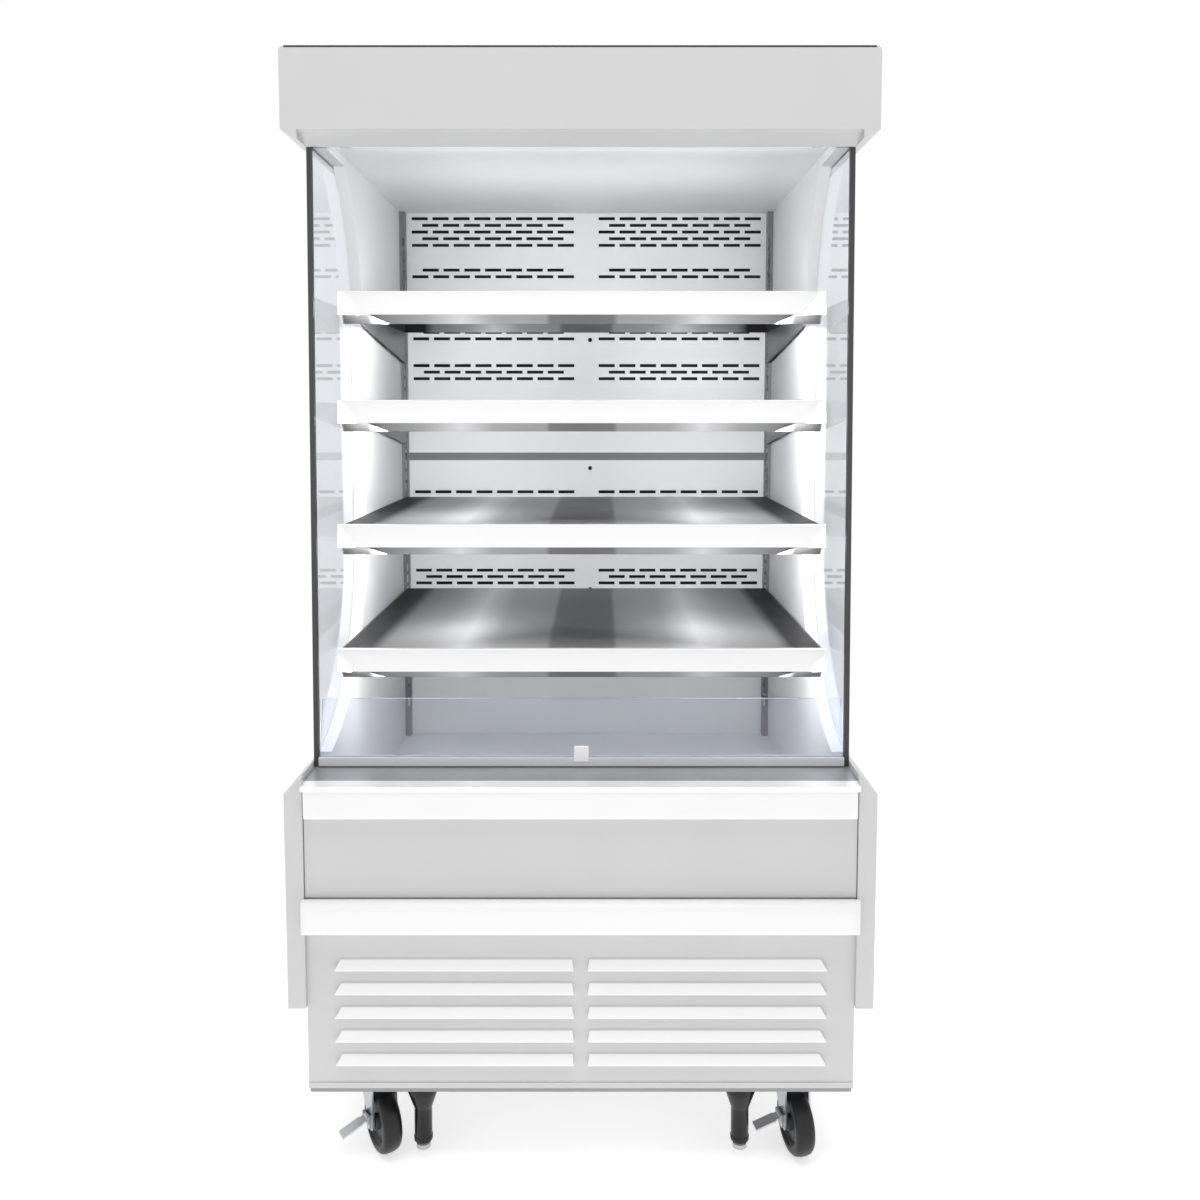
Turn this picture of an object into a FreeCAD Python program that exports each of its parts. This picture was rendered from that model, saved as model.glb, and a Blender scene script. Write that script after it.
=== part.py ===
import FreeCAD, Part
import math
import os

import Sketcher

# Open multideck display fridge on casters, in millimetres.
# +Z is up, the open front faces -Y, and +X is on the right of someone who stands in front.
# The origin lies on the floor, under the middle of the cabinet's width and depth.

SIZES = (
    # the whole cabinet
    ("overall_width", 914.0),
    ("overall_depth", 890.0),
    ("overall_height", 1765.0),
    ("sheet", 1.5),
    ("wall_recess", 25.0),
    ("side_wall_thickness", 26.0),
    ("rear_wall_thickness", 43.0),
    ("duct_depth", 79.5),
    ("tub_foam", 35.0),
    ("fit_gap", 0.3),
    # how far each front face lies behind the front-most face
    ("cover_setback", 22.0),
    ("front_panel_setback", 26.0),
    ("louvre_panel_setback", 30.0),
    ("tub_setback", 33.0),
    ("upper_bumper_setback", 13.0),
    ("canopy_setback", 74.0),
    ("roof_setback", 90.0),
    # heights over the floor
    ("frame_bottom", 140.0),
    ("frame_height", 25.0),
    ("louvre_panel_bottom", 148.0),
    ("cover_bottom", 282.0),
    ("tub_bottom", 350.0),
    ("lower_bumper_bottom", 406.0),
    ("lower_bumper_height", 53.0),
    ("deck_height", 486.0),
    ("upper_bumper_bottom", 586.0),
    ("base_top", 640.0),
    # how far under the top each upper part begins
    ("canopy_height", 124.0),
    ("ceiling_drop", 120.0),
    ("roof_thickness", 50.0),
    ("window_top_drop", 135.0),
    # the window in each side, its glass and the trim on the glass
    ("window_setback", 380.0),
    ("window_bottom", 661.0),
    ("lower_sweep_radius", 320.0),
    ("upper_sweep_radius", 300.0),
    ("upper_sweep_reach", 112.0),
    ("upper_sweep_height", 226.0),
    ("lower_sweep_height", 319.0),
    ("glass_thickness", 6.0),
    ("glass_lap", 10.0),
    ("glass_foot_setback", 111.0),
    ("glass_head_setback", 135.0),
    ("edge_trim_depth", 8.0),
    ("edge_trim_width", 8.0),
    ("wall_foot_setback", 115.0),
    ("wall_head_setback", 145.0),
    # base covers, canopy end caps and fascia
    ("cover_front_return", 27.8),
    ("cover_return_depth", 10.7),
    ("shoulder_drop", 25.0),
    ("cap_shoulder_drop", 14.0),
    ("cap_corner_radius", 9.0),
    ("fascia_nose_depth", 51.0),
    ("fascia_nose_drop", 14.0),
    ("fascia_lip", 13.0),
    # bumpers, front panel and sill
    ("lower_bumper_overhang", 0.5),
    ("lower_bumper_corner", 16.0),
    ("bumper_mount_inset", 4.0),
    ("upper_bumper_side_inset", 6.5),
    ("upper_bumper_corner", 9.0),
    ("front_panel_side_inset", 4.0),
    ("sill_front_fold", 8.0),
    ("sill_rear_fold", 12.0),
    # louvred panel
    ("louvre_panel_side_inset", 3.0),
    ("louvre_inner", 11.0),
    ("louvre_side_margin", 45.0),
    ("louvre_outer_taper", 10.0),
    ("louvre_inner_taper", 3.0),
    ("louvre_first", 189.0),
    ("louvre_height", 18.0),
    ("louvre_pitch", 38.5),
    ("louvre_count", 5.0),
    ("louvre_stand", 9.0),
    ("panel_hem", 9.0),
    # riser and return air grille
    ("tub_front_wall", 62.0),
    ("riser_thickness", 5.0),
    ("riser_side_inset", 8.5),
    ("riser_foot", 644.0),
    ("riser_top", 744.0),
    ("riser_foot_setback", 106.0),
    ("riser_lean", 27.0),
    ("channel_depth", 16.0),
    ("channel_height", 16.0),
    ("clip_width", 24.0),
    ("clip_top", 674.0),
    ("clip_stand", 2.0),
    ("grille_head_set", 5.1),
    ("grille_slot_width", 12.0),
    ("grille_slot_margin", 22.0),
    ("grille_slot_pitch", 24.0),
    # slotted back panels, with the joint's share of the height from the deck to the ceiling
    ("panel_joint_share", 0.541),
    ("joint_gap", 17.0),
    ("lower_panel_bottom", 440.0),
    ("slot_length", 35.6),
    ("slot_height", 6.6),
    ("slot_pitch", 45.7),
    ("slots_per_row", 8.0),
    ("slot_rows_in_height", 80.5),
    ("slot_strip_half", 27.0),
    ("joint_rail_height", 36.0),
    ("joint_rail_depth", 12.0),
    ("screw_offset", 8.0),
    ("screw_head_radius", 4.5),
    ("screw_head_height", 2.5),
    ("screw_shank_radius", 2.0),
    # shelf uprights
    ("upright_width", 12.0),
    ("upright_depth", 21.0),
    ("upright_sheet", 2.0),
    ("hook_slot_pitch", 25.4),
    ("hook_slot_height", 18.0),
    ("hook_slot_width", 3.7),
    ("hook_slot_head_margin", 50.0),
    ("slots_below_shelf", 10.0),
    # shelves
    ("shelf_side_gap", 6.0),
    ("first_shelf_height", 822.0),
    ("shelf_front_setback", 137.0),
    ("shelf_front_step", 13.5),
    ("shelf_sheet", 1.2),
    ("shelf_flange", 22.0),
    ("shelf_rear_gap", 8.0),
    ("shelf_lip_drop", 14.0),
    ("shelf_lip_depth", 12.0),
    ("price_rail_depth", 8.0),
    ("price_rail_height", 38.0),
    ("price_rail_rise", 3.0),
    ("price_rail_wall", 2.5),
    ("bracket_thickness", 3.0),
    ("bracket_rear_height", 88.0),
    ("bracket_front_height", 22.0),
    ("hook_drop", 14.0),
    ("hook_height", 12.0),
    ("hook_reach", 5.0),
    ("hook_lip_gap", 2.2),
    ("hook_lip_drop", 6.0),
    ("tab_drop", 47.0),
    ("tab_height", 8.0),
    # canopy: ceiling, discharge grille and lamp
    ("discharge_depth", 58.0),
    ("discharge_rim", 4.0),
    ("honeycomb_height", 20.0),
    ("lamp_side_gap", 26.0),
    ("lamp_width", 18.0),
    ("lamp_height", 9.0),
    # evaporator section under the deck
    ("coil_setback", 205.0),
    ("fan_plate_lead", 50.0),
    ("coil_depth", 120.0),
    ("coil_height", 80.0),
    ("coil_clearance", 8.0),
    ("coil_tube_radius", 5.0),
    ("evaporator_fan_size", 92.0),
    ("evaporator_fan_depth", 25.0),
    ("evaporator_fan_place", 190.0),
    ("evaporator_fan_rotor", 40.0),
    ("evaporator_fan_hub", 17.0),
    ("fan_tip_gap", 3.0),
    ("fan_shaft_radius", 2.5),
    ("shaft_clearance", 0.05),
    ("deck_front_fold", 4.5),
    # machine compartment
    ("condenser_centre", -60.0),
    ("condenser_side_room", 229.0),
    ("condenser_setback", 47.0),
    ("condenser_depth", 50.0),
    ("condenser_height", 175.0),
    ("header_thickness", 2.0),
    ("bend_radius", 12.0),
    ("shroud_depth", 20.0),
    ("shroud_hole_radius", 82.0),
    ("condenser_fan_rotor", 77.0),
    ("condenser_fan_hub", 22.0),
    ("condenser_fan_depth", 26.0),
    ("fan_motor_radius", 36.0),
    ("fan_motor_length", 48.0),
    ("motor_pedestal_width", 40.0),
    ("compressor_place_x", 60.0),
    ("compressor_setback", 405.0),
    ("compressor_radius", 76.0),
    ("compressor_height", 150.0),
    ("compressor_foot_height", 14.0),
    ("compressor_foot_radius", 12.0),
    ("compressor_plate", 4.0),
    ("box_setback", 195.0),
    ("box_width", 160.0),
    ("box_depth", 120.0),
    ("box_height", 130.0),
    ("pan_width", 420.0),
    ("pan_depth", 210.0),
    ("pan_height", 48.0),
    ("drain_radius", 12.0),
    ("drain_wall", 2.0),
    ("box_margin", 12.0),
    ("inlet_width", 30.0),
    ("inlet_height", 22.0),
    ("inlet_depth", 20.0),
    ("inlet_wall", 4.0),
    ("inlet_margin", 60.0),
    ("vent_slot_height", 6.0),
    ("vent_slot_pitch", 16.0),
    ("vent_slot_count", 9.0),
    ("vent_slot_margin", 112.0),
    ("inlet_plate_width", 94.0),
    ("line_radius", 4.8),
    ("line_entry", 11.0),
    ("drier_radius", 11.0),
    ("drier_length", 90.0),
    ("discharge_line_reach", 60.0),
    ("liquid_line_reach", 100.0),
    ("liquid_line_height", 40.0),
    ("suction_line_reach", 44.0),
    # base frame
    ("frame_sheet", 2.5),
    ("frame_rail", 40.0),
    ("front_member", 138.0),
    ("rear_member", 153.0),
    # casters
    ("caster_side_inset", 87.0),
    ("front_caster_setback", 121.5),
    ("rear_caster_setback", 105.0),
    ("left_caster_turn", 34.0),
    ("right_caster_turn", 12.0),
    ("caster_trail", 32.0),
    ("caster_plate_width", 62.0),
    ("caster_plate_length", 92.0),
    ("caster_plate_thickness", 3.0),
    ("kingpin_radius", 6.0),
    ("race_radius", 25.0),
    ("race_height", 14.0),
    ("crown_thickness", 3.0),
    ("fork_gap", 38.0),
    ("fork_sheet", 3.0),
    ("wheel_radius", 50.0),
    ("wheel_width", 32.0),
    ("hub_half", 18.0),
    ("hub_radius", 12.0),
    ("axle_radius", 5.0),
    ("pedal_length", 44.0),
    ("pedal_width", 16.0),
    ("pedal_tread_width", 20.0),
    ("pedal_thickness", 3.0),
    ("pedal_height", 62.0),
    ("pedal_drop", 14.0),
    ("pedal_offset", 3.8),
    ("pedal_barrel_radius", 4.0),
    ("pedal_pin_radius", 2.0),
    # levelling legs
    ("leg_side_inset", 175.0),
    ("leg_setback", 73.0),
    ("leg_flange_radius", 30.0),
    ("leg_head_radius", 25.0),
    ("leg_shank_radius", 15.25),
    ("leg_flange_thickness", 4.0),
    ("leg_head_bottom", 118.0),
    ("leg_taper_bottom", 91.0),
    ("leg_shank_bottom", 33.0),
    ("foot_radius", 11.5),
    ("foot_bottom", 19.0),
    ("foot_top", 62.0),
)

# Groups of slots in the back panels: the share of the height from the deck to the ceiling at
# which each group's lowest row lies, and how many rows it has.
UPPER_SLOT_SHARES = (0.94047, 0.8818, 0.76488, 0.68939)
UPPER_ROW_COUNTS = (5, 2, 3, 3)
LOWER_SLOT_SHARES = (0.47282, 0.29594)
LOWER_ROW_COUNTS = (1, 3)
SCREW_SHARES = (0.76273, 0.51855, 0.28387)
# Where each shelf hangs, as a share of the height from the lowest shelf to the ceiling.
SHELF_SHARES = (0.0, 0.247, 0.494, 0.71)

document = FreeCAD.newDocument("multideck_fridge")
sheet_object = document.addObject("Spreadsheet::Sheet", "Sizes")
for row_number, (alias, number) in enumerate(SIZES, start=1):
    sheet_object.set(f"A{row_number}", alias)
    sheet_object.set(f"B{row_number}", str(number))
    sheet_object.setAlias(f"B{row_number}", alias)
document.recompute()


class Size:
    """A size that carries its value and its formula over the sheet's cells."""

    def __init__(self, value, formula):
        self.value = value
        self.formula = formula

    def __add__(self, other):
        return combined(self, "+", other)

    def __radd__(self, other):
        return combined(other, "+", self)

    def __sub__(self, other):
        return combined(self, "-", other)

    def __rsub__(self, other):
        return combined(other, "-", self)

    def __mul__(self, other):
        return combined(self, "*", other)

    def __rmul__(self, other):
        return combined(other, "*", self)

    def __truediv__(self, other):
        return combined(self, "/", other)

    def __neg__(self):
        return Size(-self.value, f"(-1 * {self.formula})")


def as_size(number):
    """A plain number as a size, and a size as it is."""
    if isinstance(number, Size):
        return number
    return Size(float(number), f"({float(number)})")


def combined(first, sign, second):
    """The sum, difference, product or quotient of two sizes."""
    first = as_size(first)
    second = as_size(second)
    results = {
        "+": lambda a, b: a + b,
        "-": lambda a, b: a - b,
        "*": lambda a, b: a * b,
        "/": lambda a, b: a / b,
    }
    value = results[sign](first.value, second.value)
    return Size(value, f"({first.formula} {sign} {second.formula})")


def whole(size):
    """A size rounded down to a whole number."""
    return Size(float(math.floor(size.value)), f"floor({size.formula})")


def nearest(size):
    """A size rounded to the nearest whole number."""
    return Size(float(round(size.value)), f"round({size.formula})")


class Cells:
    """The sheet's cells by name, each as a size."""

    def __getattr__(self, alias):
        return Size(float(getattr(sheet_object, alias)), f"Sizes.{alias}")


cells = Cells()
nodes = []


def bind(feature, prop, size):
    """Set a property of a feature to a size, through the sheet."""
    feature.setExpression(prop, as_size(size).formula)


def put(feature, x=0, y=0, z=0, turn=None):
    """Place a feature, turned about +Z if a turn is given."""
    if turn is not None:
        feature.Placement.Rotation = FreeCAD.Rotation(FreeCAD.Vector(0, 0, 1), turn.value)
        bind(feature, "Placement.Rotation.Angle", turn)
    bind(feature, "Placement.Base.x", x)
    bind(feature, "Placement.Base.y", y)
    bind(feature, "Placement.Base.z", z)
    return feature


def node(label, feature):
    """Name a finished sub-part and keep it for export."""
    feature.Label = label
    nodes.append(feature)
    return feature


def block(name, x, y, z):
    """A box between a low and a high value on each axis."""
    box = document.addObject("Part::Box", name)
    bind(box, "Length", x[1] - x[0])
    bind(box, "Width", y[1] - y[0])
    bind(box, "Height", z[1] - z[0])
    return put(box, x[0], y[0], z[0])


AXIS_TURNS = {
    "X": FreeCAD.Rotation(FreeCAD.Vector(0, 1, 0), 90),
    "Y": FreeCAD.Rotation(FreeCAD.Vector(1, 0, 0), -90),
    "Z": FreeCAD.Rotation(),
}


def rod(name, axis, start, length, radius):
    """A cylinder from a start point along one axis."""
    cylinder = document.addObject("Part::Cylinder", name)
    cylinder.Placement.Rotation = AXIS_TURNS[axis]
    bind(cylinder, "Radius", radius)
    bind(cylinder, "Height", length)
    return put(cylinder, *start)


def cut(name, base, tools):
    """A base with every tool taken away."""
    tool = tools[0] if len(tools) == 1 else group(name + "_tools", tools)
    result = document.addObject("Part::Cut", name)
    result.Base = base
    result.Tool = tool
    return result


def joined(name, parts):
    """Several shapes welded into one."""
    result = document.addObject("Part::MultiFuse", name)
    result.Shapes = parts
    result.Refine = True
    return result


def group(name, parts):
    """Several solids that stay apart in one sub-part."""
    result = document.addObject("Part::Compound", name)
    result.Links = parts
    return result


def worked(name, shape):
    """A feature whose shape is made directly from curves and faces."""
    feature = document.addObject("Part::Feature", name)
    feature.Shape = shape
    return feature


def symmetric(half):
    """The span from minus a half width to plus a half width."""
    return (-half, half)


def sided(side, near, far):
    """A span on the right of the middle, or its mirror image on the left."""
    if side > 0:
        return (as_size(near), as_size(far))
    return (-as_size(far), -as_size(near))


class Arc:
    """A corner of an outline that is reached by an arc, with its centre left or right of travel."""

    def __init__(self, u, v, radius, centre_side):
        self.u = as_size(u)
        self.v = as_size(v)
        self.radius = as_size(radius)
        self.centre_side = centre_side


class Line:
    """A corner of an outline that is reached by a straight line."""

    def __init__(self, u, v):
        self.u = as_size(u)
        self.v = as_size(v)


def corners(outline):
    """An outline with its plain pairs turned into line corners."""
    return [item if isinstance(item, Arc) else Line(*item) for item in outline]


def arc_geometry(start, end):
    """The arc from one corner to an arc corner, and which of its ends lies at the start."""
    first = FreeCAD.Vector(start.u.value, start.v.value, 0)
    last = FreeCAD.Vector(end.u.value, end.v.value, 0)
    chord = last - first
    half_chord = chord.Length / 2
    height = math.sqrt(max(end.radius.value ** 2 - half_chord ** 2, 0.0))
    left = FreeCAD.Vector(-chord.y, chord.x, 0).normalize()
    centre = (first + last) * 0.5 + left * (height * end.centre_side)
    angles = [math.atan2(p.y - centre.y, p.x - centre.x) for p in (first, last)]
    if end.centre_side < 0:
        angles.reverse()
    circle = Part.Circle(centre, FreeCAD.Vector(0, 0, 1), end.radius.value)
    start_point = 1 if end.centre_side > 0 else 2
    return Part.ArcOfCircle(circle, angles[0], angles[1]), start_point


PLANES = {"XY": "XY_Plane", "XZ": "XZ_Plane", "YZ": "YZ_Plane"}


def origin_feature(body, role):
    """One of a body's own origin planes or axes, by its role."""
    return next(item for item in body.Origin.OriginFeatures if item.Role == role)


def sketch_on(body, name, plane, outlines, offset=0):
    """A sketch of closed outlines, every corner bound to the sheet, on a plane of the body."""
    sketch = body.newObject("Sketcher::SketchObject", name)
    sketch.AttachmentSupport = [(origin_feature(body, PLANES[plane]), "")]
    sketch.MapMode = "FlatFace"
    bind(sketch, "AttachmentOffset.Base.z", offset)
    geometry = []
    constraints = []
    bound = []
    for outline in outlines:
        points = corners(outline)
        first_index = len(geometry)
        ends = []
        for position, corner in enumerate(points):
            start = points[position - 1]
            if isinstance(corner, Arc):
                curve, start_point = arc_geometry(start, corner)
                ends.append((start_point, 3 - start_point))
            else:
                low = FreeCAD.Vector(start.u.value, start.v.value, 0)
                high = FreeCAD.Vector(corner.u.value, corner.v.value, 0)
                curve = Part.LineSegment(low, high)
                ends.append((1, 2))
            geometry.append(curve)
        for position, corner in enumerate(points):
            this_curve = first_index + position
            following = (position + 1) % len(points)
            this_end = ends[position][1]
            next_start = ends[following][0]
            constraints.append(Sketcher.Constraint(
                "Coincident", this_curve, this_end, first_index + following, next_start))
            for kind, size in (("DistanceX", corner.u), ("DistanceY", corner.v)):
                bound.append((len(constraints), size))
                constraints.append(Sketcher.Constraint(
                    kind, -1, 1, this_curve, this_end, size.value))
            if isinstance(corner, Arc):
                bound.append((len(constraints), corner.radius))
                constraints.append(Sketcher.Constraint("Radius", this_curve, corner.radius.value))
    sketch.addGeometry(geometry, False)
    sketch.addConstraint(constraints)
    for index, size in bound:
        bind(sketch, f"Constraints[{index}]", size)
    return sketch


def new_body(name):
    """An empty body."""
    return document.addObject("PartDesign::Body", name)


def padded(body, name, plane, outlines, span):
    """Material added to a body between two values along the normal of a plane."""
    offset = -as_size(span[1]) if plane == "XZ" else as_size(span[0])
    pad = body.newObject("PartDesign::Pad", name)
    pad.Profile = sketch_on(body, name + "_sketch", plane, outlines, offset)
    bind(pad, "Length", span[1] - span[0])
    return pad


def pocketed(body, name, plane, outlines, span):
    """Material taken from a body between two values along the normal of a plane."""
    offset = -as_size(span[1]) if plane == "XZ" else as_size(span[0])
    pocket = body.newObject("PartDesign::Pocket", name)
    pocket.Profile = sketch_on(body, name + "_sketch", plane, outlines, offset)
    pocket.Reversed = True
    bind(pocket, "Length", span[1] - span[0])
    return pocket


def repeated(body, name, features, axis, pitch, count):
    """A row of copies of features along an axis of the body."""
    pattern = body.newObject("PartDesign::LinearPattern", name)
    pattern.Originals = features
    pattern.Direction = (origin_feature(body, axis), [""])
    bind(pattern, "Length", pitch * (count - 1))
    bind(pattern, "Occurrences", count)
    body.Tip = pattern
    return pattern


def prism(name, plane, outline, span):
    """A body with one padded outline."""
    body = new_body(name)
    padded(body, name + "_pad", plane, [outline], span)
    return body


def turned(name, plane, outline, axis):
    """A body turned about the sketch's horizontal or vertical axis."""
    body = new_body(name)
    revolution = body.newObject("PartDesign::Revolution", name + "_turn")
    profile = sketch_on(body, name + "_sketch", plane, [outline])
    revolution.Profile = profile
    revolution.ReferenceAxis = (profile, [axis])
    revolution.Angle = 360.0
    return body


# Planes that many pieces share.
half_width = cells.overall_width / 2
front = -cells.overall_depth / 2
rear = cells.overall_depth / 2
wall_outer = half_width - cells.wall_recess
wall_inner = wall_outer - cells.side_wall_thickness
rear_wall_face = rear - cells.rear_wall_thickness
back_panel_rear = rear_wall_face - cells.duct_depth
back_face = back_panel_rear - cells.sheet
tub_front = front + cells.tub_setback
tub_inner_front = tub_front + cells.tub_front_wall
tub_floor = cells.tub_bottom + cells.tub_foam
sill_underside = cells.base_top - cells.sheet
wall_foot = front + cells.wall_foot_setback
wall_head = front + cells.wall_head_setback
floor_plate_top = cells.frame_bottom + cells.frame_height + cells.sheet
deck_underside = cells.deck_height - cells.sheet
ceiling_height = cells.overall_height - cells.ceiling_drop
canopy_bottom = cells.overall_height - cells.canopy_height
roof_bottom = cells.overall_height - cells.roof_thickness
deck_to_ceiling = ceiling_height - cells.deck_height
panel_joint = cells.deck_height + deck_to_ceiling * cells.panel_joint_share
window_top = cells.overall_height - cells.window_top_drop
window_back = front + cells.window_setback
louvre_panel_half = wall_outer - cells.louvre_panel_side_inset
riser_half = wall_outer - cells.riser_side_inset
shelf_half = wall_inner - cells.shelf_side_gap
coil_front = front + cells.coil_setback
fan_plate_front = coil_front - cells.fan_plate_lead
deck_edge = fan_plate_front - cells.fit_gap - cells.sheet
upright_face = back_face - cells.upright_depth
lower_sweep_end = cells.window_bottom + cells.lower_sweep_height
upper_sweep_start = window_top - cells.upper_sweep_height
upper_sweep_front = window_back - cells.upper_sweep_reach


def window_edge(lap, gap):
    """The corners of a window's rear edge, set back by a lap and a gap, from bottom to top."""
    grown = lap + gap
    return [
        Arc(window_back + grown, lower_sweep_end, cells.lower_sweep_radius + grown, 1),
        (window_back + grown, upper_sweep_start),
        Arc(upper_sweep_front, window_top + grown, cells.upper_sweep_radius + grown, 1),
    ]


def base_frame():
    """Welded channel frame, open at the top, with the floor plate of the machine compartment."""
    outer_half = louvre_panel_half - cells.sheet - cells.fit_gap
    low = front + cells.louvre_panel_setback + cells.sheet
    high = rear - cells.sheet
    base = cells.frame_bottom
    top = base + cells.frame_height
    wall = cells.frame_sheet
    window_half = outer_half - cells.frame_rail
    window = (low + cells.front_member, high - cells.rear_member)
    outer = block("frame_outer", symmetric(outer_half), (low, high), (base, top))
    middle = block("frame_window", symmetric(window_half), window, (base, top))
    ring = cut("frame_ring", outer, [middle])
    inner = block("channel_outer", symmetric(outer_half - wall), (low + wall, high - wall),
                  (base + wall, top))
    island = block("channel_island", symmetric(window_half + wall),
                   (window[0] - wall, window[1] + wall), (base + wall, top))
    channel = cut("channel_space", inner, [island])
    frame = cut("welded_frame", ring, [channel])
    plate = block("floor_plate", symmetric(outer_half), (low, high), (top, floor_plate_top))
    return node("base_frame", group("base_frame_group", [frame, plate]))


def side_wall(side, label):
    """Insulated side wall with the window cut out and a rebate for the side glass."""
    outline = [
        (tub_front, cells.tub_bottom),
        (rear_wall_face, cells.tub_bottom),
        (rear_wall_face, roof_bottom),
        (wall_head, roof_bottom),
        (wall_head, window_top),
        (upper_sweep_front, window_top),
        Arc(window_back, upper_sweep_start, cells.upper_sweep_radius, -1),
        (window_back, lower_sweep_end),
        Arc(wall_foot, cells.window_bottom, cells.lower_sweep_radius, -1),
        (wall_foot, sill_underside),
        (tub_front, sill_underside),
    ]
    body = new_body(label + "_body")
    padded(body, label + "_panel", "YZ", [outline], sided(side, wall_inner, wall_outer))
    gap = cells.fit_gap
    rebate_front = front + cells.canopy_setback
    rebate_foot = cells.window_bottom - cells.glass_lap - gap
    rebate = [
        (rebate_front, window_top + cells.glass_lap + gap),
        (rebate_front, rebate_foot),
        (wall_foot, rebate_foot),
    ]
    rebate += window_edge(cells.glass_lap, gap)
    depth = sided(side, wall_outer - cells.glass_thickness, wall_outer)
    pocketed(body, label + "_rebate", "YZ", [rebate], depth)
    return node(label, body)


def glass_front(height):
    """How far forward the front edge of the side glass lies at a height."""
    rise = window_top + cells.glass_lap - cells.base_top
    lean = cells.glass_head_setback - cells.glass_foot_setback
    return front + cells.glass_foot_setback + lean * (height - cells.base_top) / rise


def side_glass():
    """The two side panes, each flush with its wall."""
    foot = cells.window_bottom - cells.glass_lap
    head = window_top + cells.glass_lap
    outline = [
        (glass_front(head), head),
        (glass_front(cells.base_top), cells.base_top),
        (wall_foot - cells.fit_gap, cells.base_top),
        (wall_foot - cells.fit_gap, foot),
        (wall_foot, foot),
    ]
    outline += window_edge(cells.glass_lap, as_size(0))
    panes = []
    for side, hand in ((-1, "left"), (1, "right")):
        span = sided(side, wall_outer - cells.glass_thickness, wall_outer)
        panes.append(prism(f"pane_{hand}", "YZ", outline, span))
    return node("side_glass", group("side_glass_group", panes))


def glass_edge_trims():
    """A trim bar on the front edge of each side pane."""
    head = window_top + cells.glass_lap
    foot = cells.base_top
    depth = cells.edge_trim_depth
    outline = [
        (glass_front(foot) - depth, foot),
        (glass_front(foot), foot),
        (glass_front(head), head),
        (glass_front(head) - depth, head),
    ]
    bars = []
    for side, hand in ((-1, "left"), (1, "right")):
        span = sided(side, wall_outer - cells.edge_trim_width, wall_outer)
        bars.append(prism(f"edge_trim_{hand}", "YZ", outline, span))
    return node("glass_edge_trims", group("glass_edge_trims_group", bars))


def base_side_covers():
    """Covers on both sides of the base, with a sloping shoulder and a return at the front."""
    low = front + cells.cover_setback
    top = cells.base_top + cells.glass_lap
    covers = []
    for side, hand in ((-1, "left"), (1, "right")):
        inner = wall_outer * side
        outer = half_width * side
        lip = (half_width - cells.cover_front_return) * side
        plan = [
            (lip, low),
            (outer, low),
            (outer, rear),
            (inner, rear),
            (inner, low + cells.cover_return_depth),
            (lip, low + cells.cover_return_depth),
        ]
        body = new_body(f"base_cover_{hand}")
        padded(body, f"cover_{hand}_pad", "XY", [plan], (cells.cover_bottom, top))
        shoulder = [
            (inner, top),
            (outer, top - cells.shoulder_drop),
            (outer, top),
        ]
        pocketed(body, f"cover_{hand}_shoulder", "XZ", [shoulder], (low, rear))
        covers.append(body)
    return node("base_side_covers", group("base_side_covers_group", covers))


def canopy_end_caps():
    """End caps of the canopy, with a sloping lower shoulder and a rounded upper corner."""
    low = front + cells.canopy_setback
    radius = cells.cap_corner_radius
    top = cells.overall_height
    caps = []
    for side, hand in ((-1, "left"), (1, "right")):
        outer = half_width * side
        outline = [
            (wall_outer * side, canopy_bottom - cells.cap_shoulder_drop),
            (outer, canopy_bottom),
            (outer, top - radius),
            Arc(outer - radius * side, top, radius, side),
            (wall_outer * side, top),
        ]
        caps.append(prism(f"end_cap_{hand}", "XZ", outline, (low, rear)))
    return node("canopy_end_caps", group("canopy_end_caps_group", caps))


def canopy_fascia():
    """Folded front panel of the canopy, with a nose that slopes down and back."""
    face = front + cells.canopy_setback
    wall = cells.sheet
    top = cells.overall_height
    roof_front = front + cells.roof_setback
    nose = face + cells.fascia_nose_depth
    nose_height = canopy_bottom - cells.fascia_nose_drop
    outline = [
        (face, canopy_bottom),
        (nose, nose_height),
        (nose, nose_height + cells.fascia_lip),
        (nose - wall, nose_height + cells.fascia_lip),
        (nose - wall, nose_height + wall * 1.3),
        (face + wall, canopy_bottom + wall),
        (face + wall, top - wall),
        (roof_front, top - wall),
        (roof_front, top),
        (face, top),
    ]
    return node("canopy_fascia", prism("fascia", "YZ", outline, symmetric(wall_outer)))


def roof_panel():
    """Insulated roof on top of the walls."""
    span = (front + cells.roof_setback, rear)
    height = (roof_bottom, cells.overall_height)
    return node("roof_panel", block("roof", symmetric(wall_outer), span, height))


def ceiling_panel():
    """Ceiling sheet with the outlet for the air curtain and the front end of the air duct."""
    low = ceiling_height
    top = low + cells.sheet
    panel = block("ceiling_sheet", symmetric(wall_inner), (wall_head, back_panel_rear), (low, top))
    rim = cells.discharge_rim
    outlet = block("ceiling_outlet", symmetric(wall_inner - rim * 2),
                   (wall_head + rim, wall_head + cells.discharge_depth), (low, top))
    closure = block("duct_front", symmetric(wall_inner), (wall_head, wall_head + cells.sheet),
                    (low, roof_bottom))
    opened = cut("opened_ceiling", panel, [outlet])
    return node("ceiling_panel", joined("ceiling", [opened, closure]))


def discharge_honeycomb():
    """Air straightener that lies on the rim of the ceiling's outlet."""
    low = ceiling_height + cells.sheet
    gap = cells.fit_gap
    span = (wall_head + cells.sheet + gap, wall_head + cells.discharge_depth + cells.discharge_rim)
    height = (low, low + cells.honeycomb_height)
    return node("discharge_honeycomb", block("honeycomb", symmetric(wall_inner - 1), span, height))


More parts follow.
